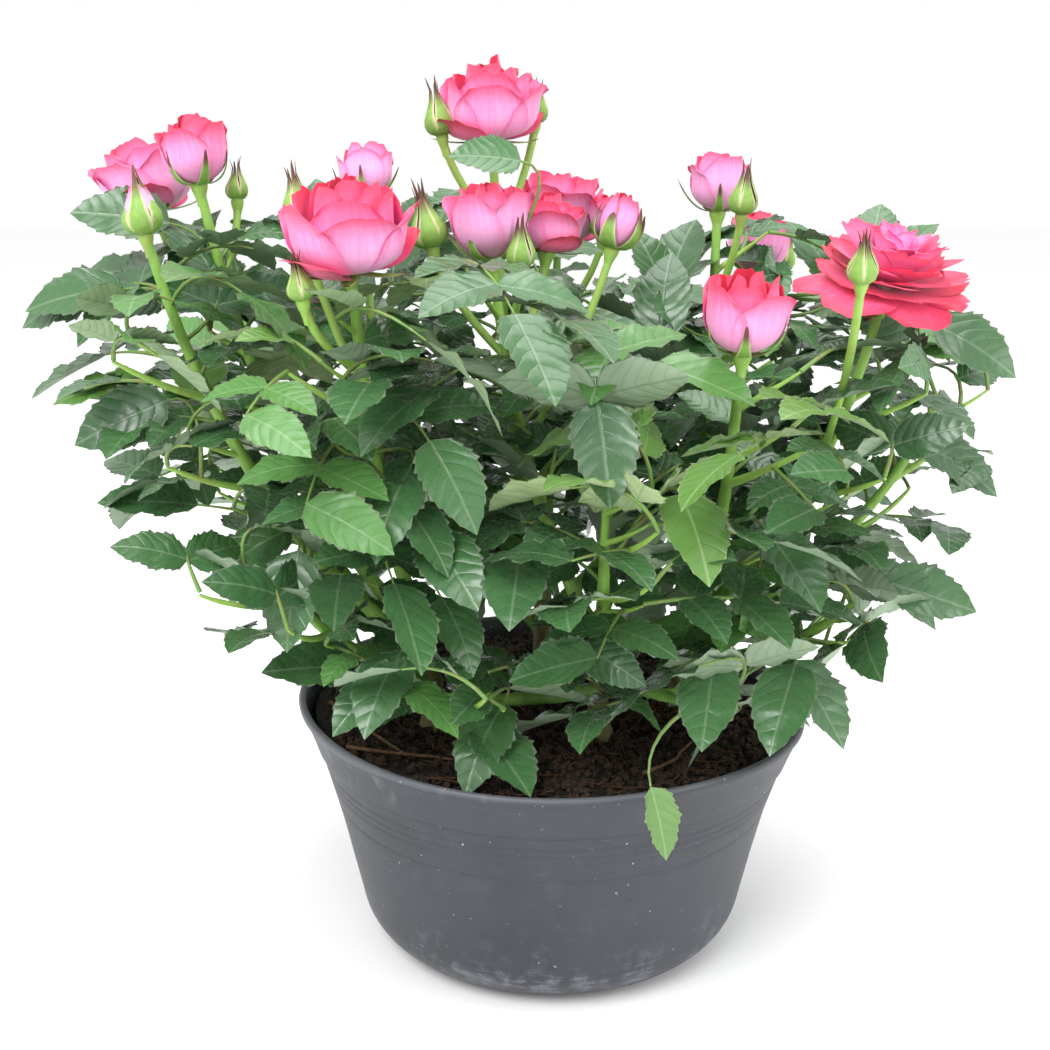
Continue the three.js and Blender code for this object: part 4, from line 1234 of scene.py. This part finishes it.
def potFinish():
    look = Finish("greyPlastic")
    height, cloud, specks, dents = look.height(), look.noise(14, 4), look.noise(420, 2), look.noise(170, 3)
    scale, scuffs = look.noise(70, 5, (1, 1, 0.6), 0.7), look.noise(60, 4, (1, 1, 12))
    band = height.ranged(0.004, 0.012) * height.ranged(0.014, 0.03, (1.0, 0.0))
    low = height.ranged(0.0, 0.05, (1.0, 0.12)) * scale.ranged(0.5, 0.72)
    low = low.calc("ADD", band * (scuffs.ranged(0.45, 0.62) * scale.ranged(0.42, 0.6)), clamp=True)
    drip = height.ranged(0.098, 0.12) * look.noise(90, 4, (1, 1, 0.08)).ranged(0.6, 0.72)
    # The pale band on the rolled lip, from 121.5 to 123.5 mm high, is a painted highlight.
    body = look.painted(
        "#2e3037", (cloud.ranged(0.35, 0.65), "#373a42"), (dents.ranged(0.6, 0.72, (0.0, 0.35)), "#25272b"),
        (low * 0.38, "#9a9da4"), (drip * 0.22, "#9a9da4"), (height.ranged(0.1215, 0.1235, (0.0, 0.25)), "#8f9298"),
        (scuffs.ranged(0.68, 0.78, (0.0, 0.3)), "#8f9298"), (specks.ranged(0.74, 0.77, (0.0, 0.8)), "#c9c6bd"))
    rough = cloud.ranged(0.3, 0.7, (0.42, 0.52)) + low * 0.2
    return look.done(body, rough, look.noise(1500, 2) * 0.25 + scuffs * 0.4, 0.0003, 0.5)


piece(placed(turned("plasticPot", potProfile(), pot["sides"]), potFinish()), "pot", "pot")

# The soil: a rough bed, crumbs and bits of old stalk
bed = {
    "rings": 46, "sides": 120, "rough": 2.4, "sunk": 0.8, "seed": 31, "crumbs": 4200, "crumb": (1.6, 6.5),
    "crumbReach": 113, "side": [(113.5, 100), (97.2, 26)], "overFloor": 0.4,
}
litter = {"fibres": 240, "fibre": 0.28, "fibreLength": (6, 22), "fibreReach": 111, "stick": 1.0, "sticks": [
    ((-108, -18, 121), (-92, -40, 119), (-70, -66, 118)), ((-96, -62, 118), (-66, -72, 119), (-38, -70, 118)),
    ((40, -84, 118), (56, -70, 118), (66, -50, 118)),
]}


def soilFinish(name, dark, light, fleck):
    look = Finish(name)
    grain, lumps = look.noise(500, 5, rough=0.7), look.noise(90, 4)
    body = look.painted(
        dark, (grain.ranged(0.35, 0.68), light), (lumps.ranged(0.5, 0.75, (0.0, 0.5)), "#3a2b1f"),
        (look.noise(1400, 2).ranged(0.7, 0.76, (0.0, 0.8)), fleck))
    return look.done(body, grain.ranged(0.3, 0.7, (0.98, 0.8)), grain + lumps, 0.002, 0.9)


# The bed's unevenness from a few crossing waves
def unevenness(x, y):
    draw = seeded(bed["seed"])
    total = 0 * x
    for _ in range(14):
        turn, pitch, shift = draw() * 6.28, 0.05 + 0.35 * draw() ** 2, draw() * 6.28
        total = total + np.sin((x * np.cos(turn) + y * np.sin(turn)) * pitch + shift) * 0.05 / pitch**0.6
    return bed["rough"] * np.tanh(total)


def soilMesh():
    edge = pot["rimRadius"] - 5 - pot["wall"] - soil["clear"]
    profile = [(edge * (i / bed["rings"]) ** 0.9, soil["top"]) for i in range(bed["rings"] + 1)]
    foot = pot["floor"] + bed["overFloor"]
    profile += [(edge - 1.5, 108), *bed["side"], (75, foot), (0, foot)]
    mesh = turned("soilBed", profile[::-1], bed["sides"])
    at = np.zeros(len(mesh.vertices) * 3)
    mesh.vertices.foreach_get("co", at)
    x, y, z = at.reshape(-1, 3).T * 1000
    drop = soil["edgeDrop"] * smoothstep(np.hypot(x, y), soil["level"], edge)
    at[2::3] += np.where(z > 109, (unevenness(x, y) - bed["sunk"] - drop) / 1000, 0)
    mesh.vertices.foreach_set("co", at)
    mesh.update()
    return mesh


# An uneven stone-like crumb, one unit across
def lump(name, seed, flat):
    maker = bmesh.new()
    bmesh.ops.create_icosphere(maker, subdivisions=1, radius=0.5)
    draw = seeded(seed)
    for vertex in maker.verts:
        vertex.co *= 0.7 + 0.5 * draw()
        vertex.co.z *= flat
    mesh = bpy.data.meshes.new(name)
    maker.to_mesh(mesh)
    maker.free()
    return mesh


piece(placed(soilMesh(), soilFinish("soil", "#0d0906", "#271b12", "#8a7c63")), "soil", "soil")
draw = seeded(61)
rows = []
while len(rows) < bed["crumbs"]:
    x, y = (draw() * 2 - 1) * 114, (draw() * 2 - 1) * 114
    if np.hypot(x, y) < bed["crumbReach"]:
        size = bed["crumb"][0] + (bed["crumb"][1] - bed["crumb"][0]) * draw() ** 2.5
        z = soil["top"] + 0.2 + unevenness(x, y)
        rows.append(((x, y, z), (draw() * 6, draw() * 6, draw() * 6), size / 1000, int(draw() * 3) + 0.01))
spots, turns, sizes, picks = zip(*rows)
source = meshOf("crumbSpots", warped(np.array(spots)), [], {"turn": turns, "size": sizes, "form": picks})
crumbs = collection("crumbs", [lump("crumb0", 3, 0.8), lump("crumb1", 4, 0.6), lump("crumb2", 5, 1.0)])
crumbFinish = soilFinish("crumbs", "#120c08", "#4b3423", "#b9a67e")
piece(grown("soilCrumbs", source, scatter, {"Forms": crumbs, "Scale": 1.0, "Finish": crumbFinish}), "soil")

fibres = []
while len(fibres) < litter["fibres"]:
    start = np.array([(draw() * 2 - 1) * 108, (draw() * 2 - 1) * 108])
    way, turn = draw() * 6.28, (draw() - 0.5) * 2.5
    length = litter["fibreLength"][0] + (litter["fibreLength"][1] - litter["fibreLength"][0]) * draw()
    at = start + np.vstack([(0, 0), np.cumsum(level(way + turn * np.arange(5) / 5)[:, :2], 0)]) * length / 5
    if np.hypot(*at.T).max() < litter["fibreReach"]:
        high = soil["top"] + 0.6 + unevenness(*at.T) + 1.2 * draw()
        fibres.append((warped(np.column_stack([at, high])), [litter["fibre"]] * 6))
strandPiece("soilFibres", fibres, 4, 0.0, 11, soilFinish("fibre", "#4a2e1d", "#7b5236", "#a58a63"), "soil")
sticks = [(warped(Bend(*line).points(10)), litter["stick"] * (1 - 0.04 * np.arange(11))) for line in litter["sticks"]]
strandPiece("sticks", sticks, 7, 0.0004, 12, soilFinish("stick", "#5b3f2a", "#8b674a", "#b39a76"), "soil")

# The floor
half = room["floorSize"] * 500
corners = [(-half, -half, -0.2), (half, -half, -0.2), (half, half, -0.2), (-half, half, -0.2)]
floorFinish = Finish("paleFloor").fixed({"Base Color": (*room["floor"], 1), "Roughness": 0.8})
placed(meshOf("floor", corners, [[0, 1, 2, 3]]), floorFinish)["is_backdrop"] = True

low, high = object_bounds()
print("box in mm", [round(v * 1000) for v in low], [round(v * 1000) for v in high])
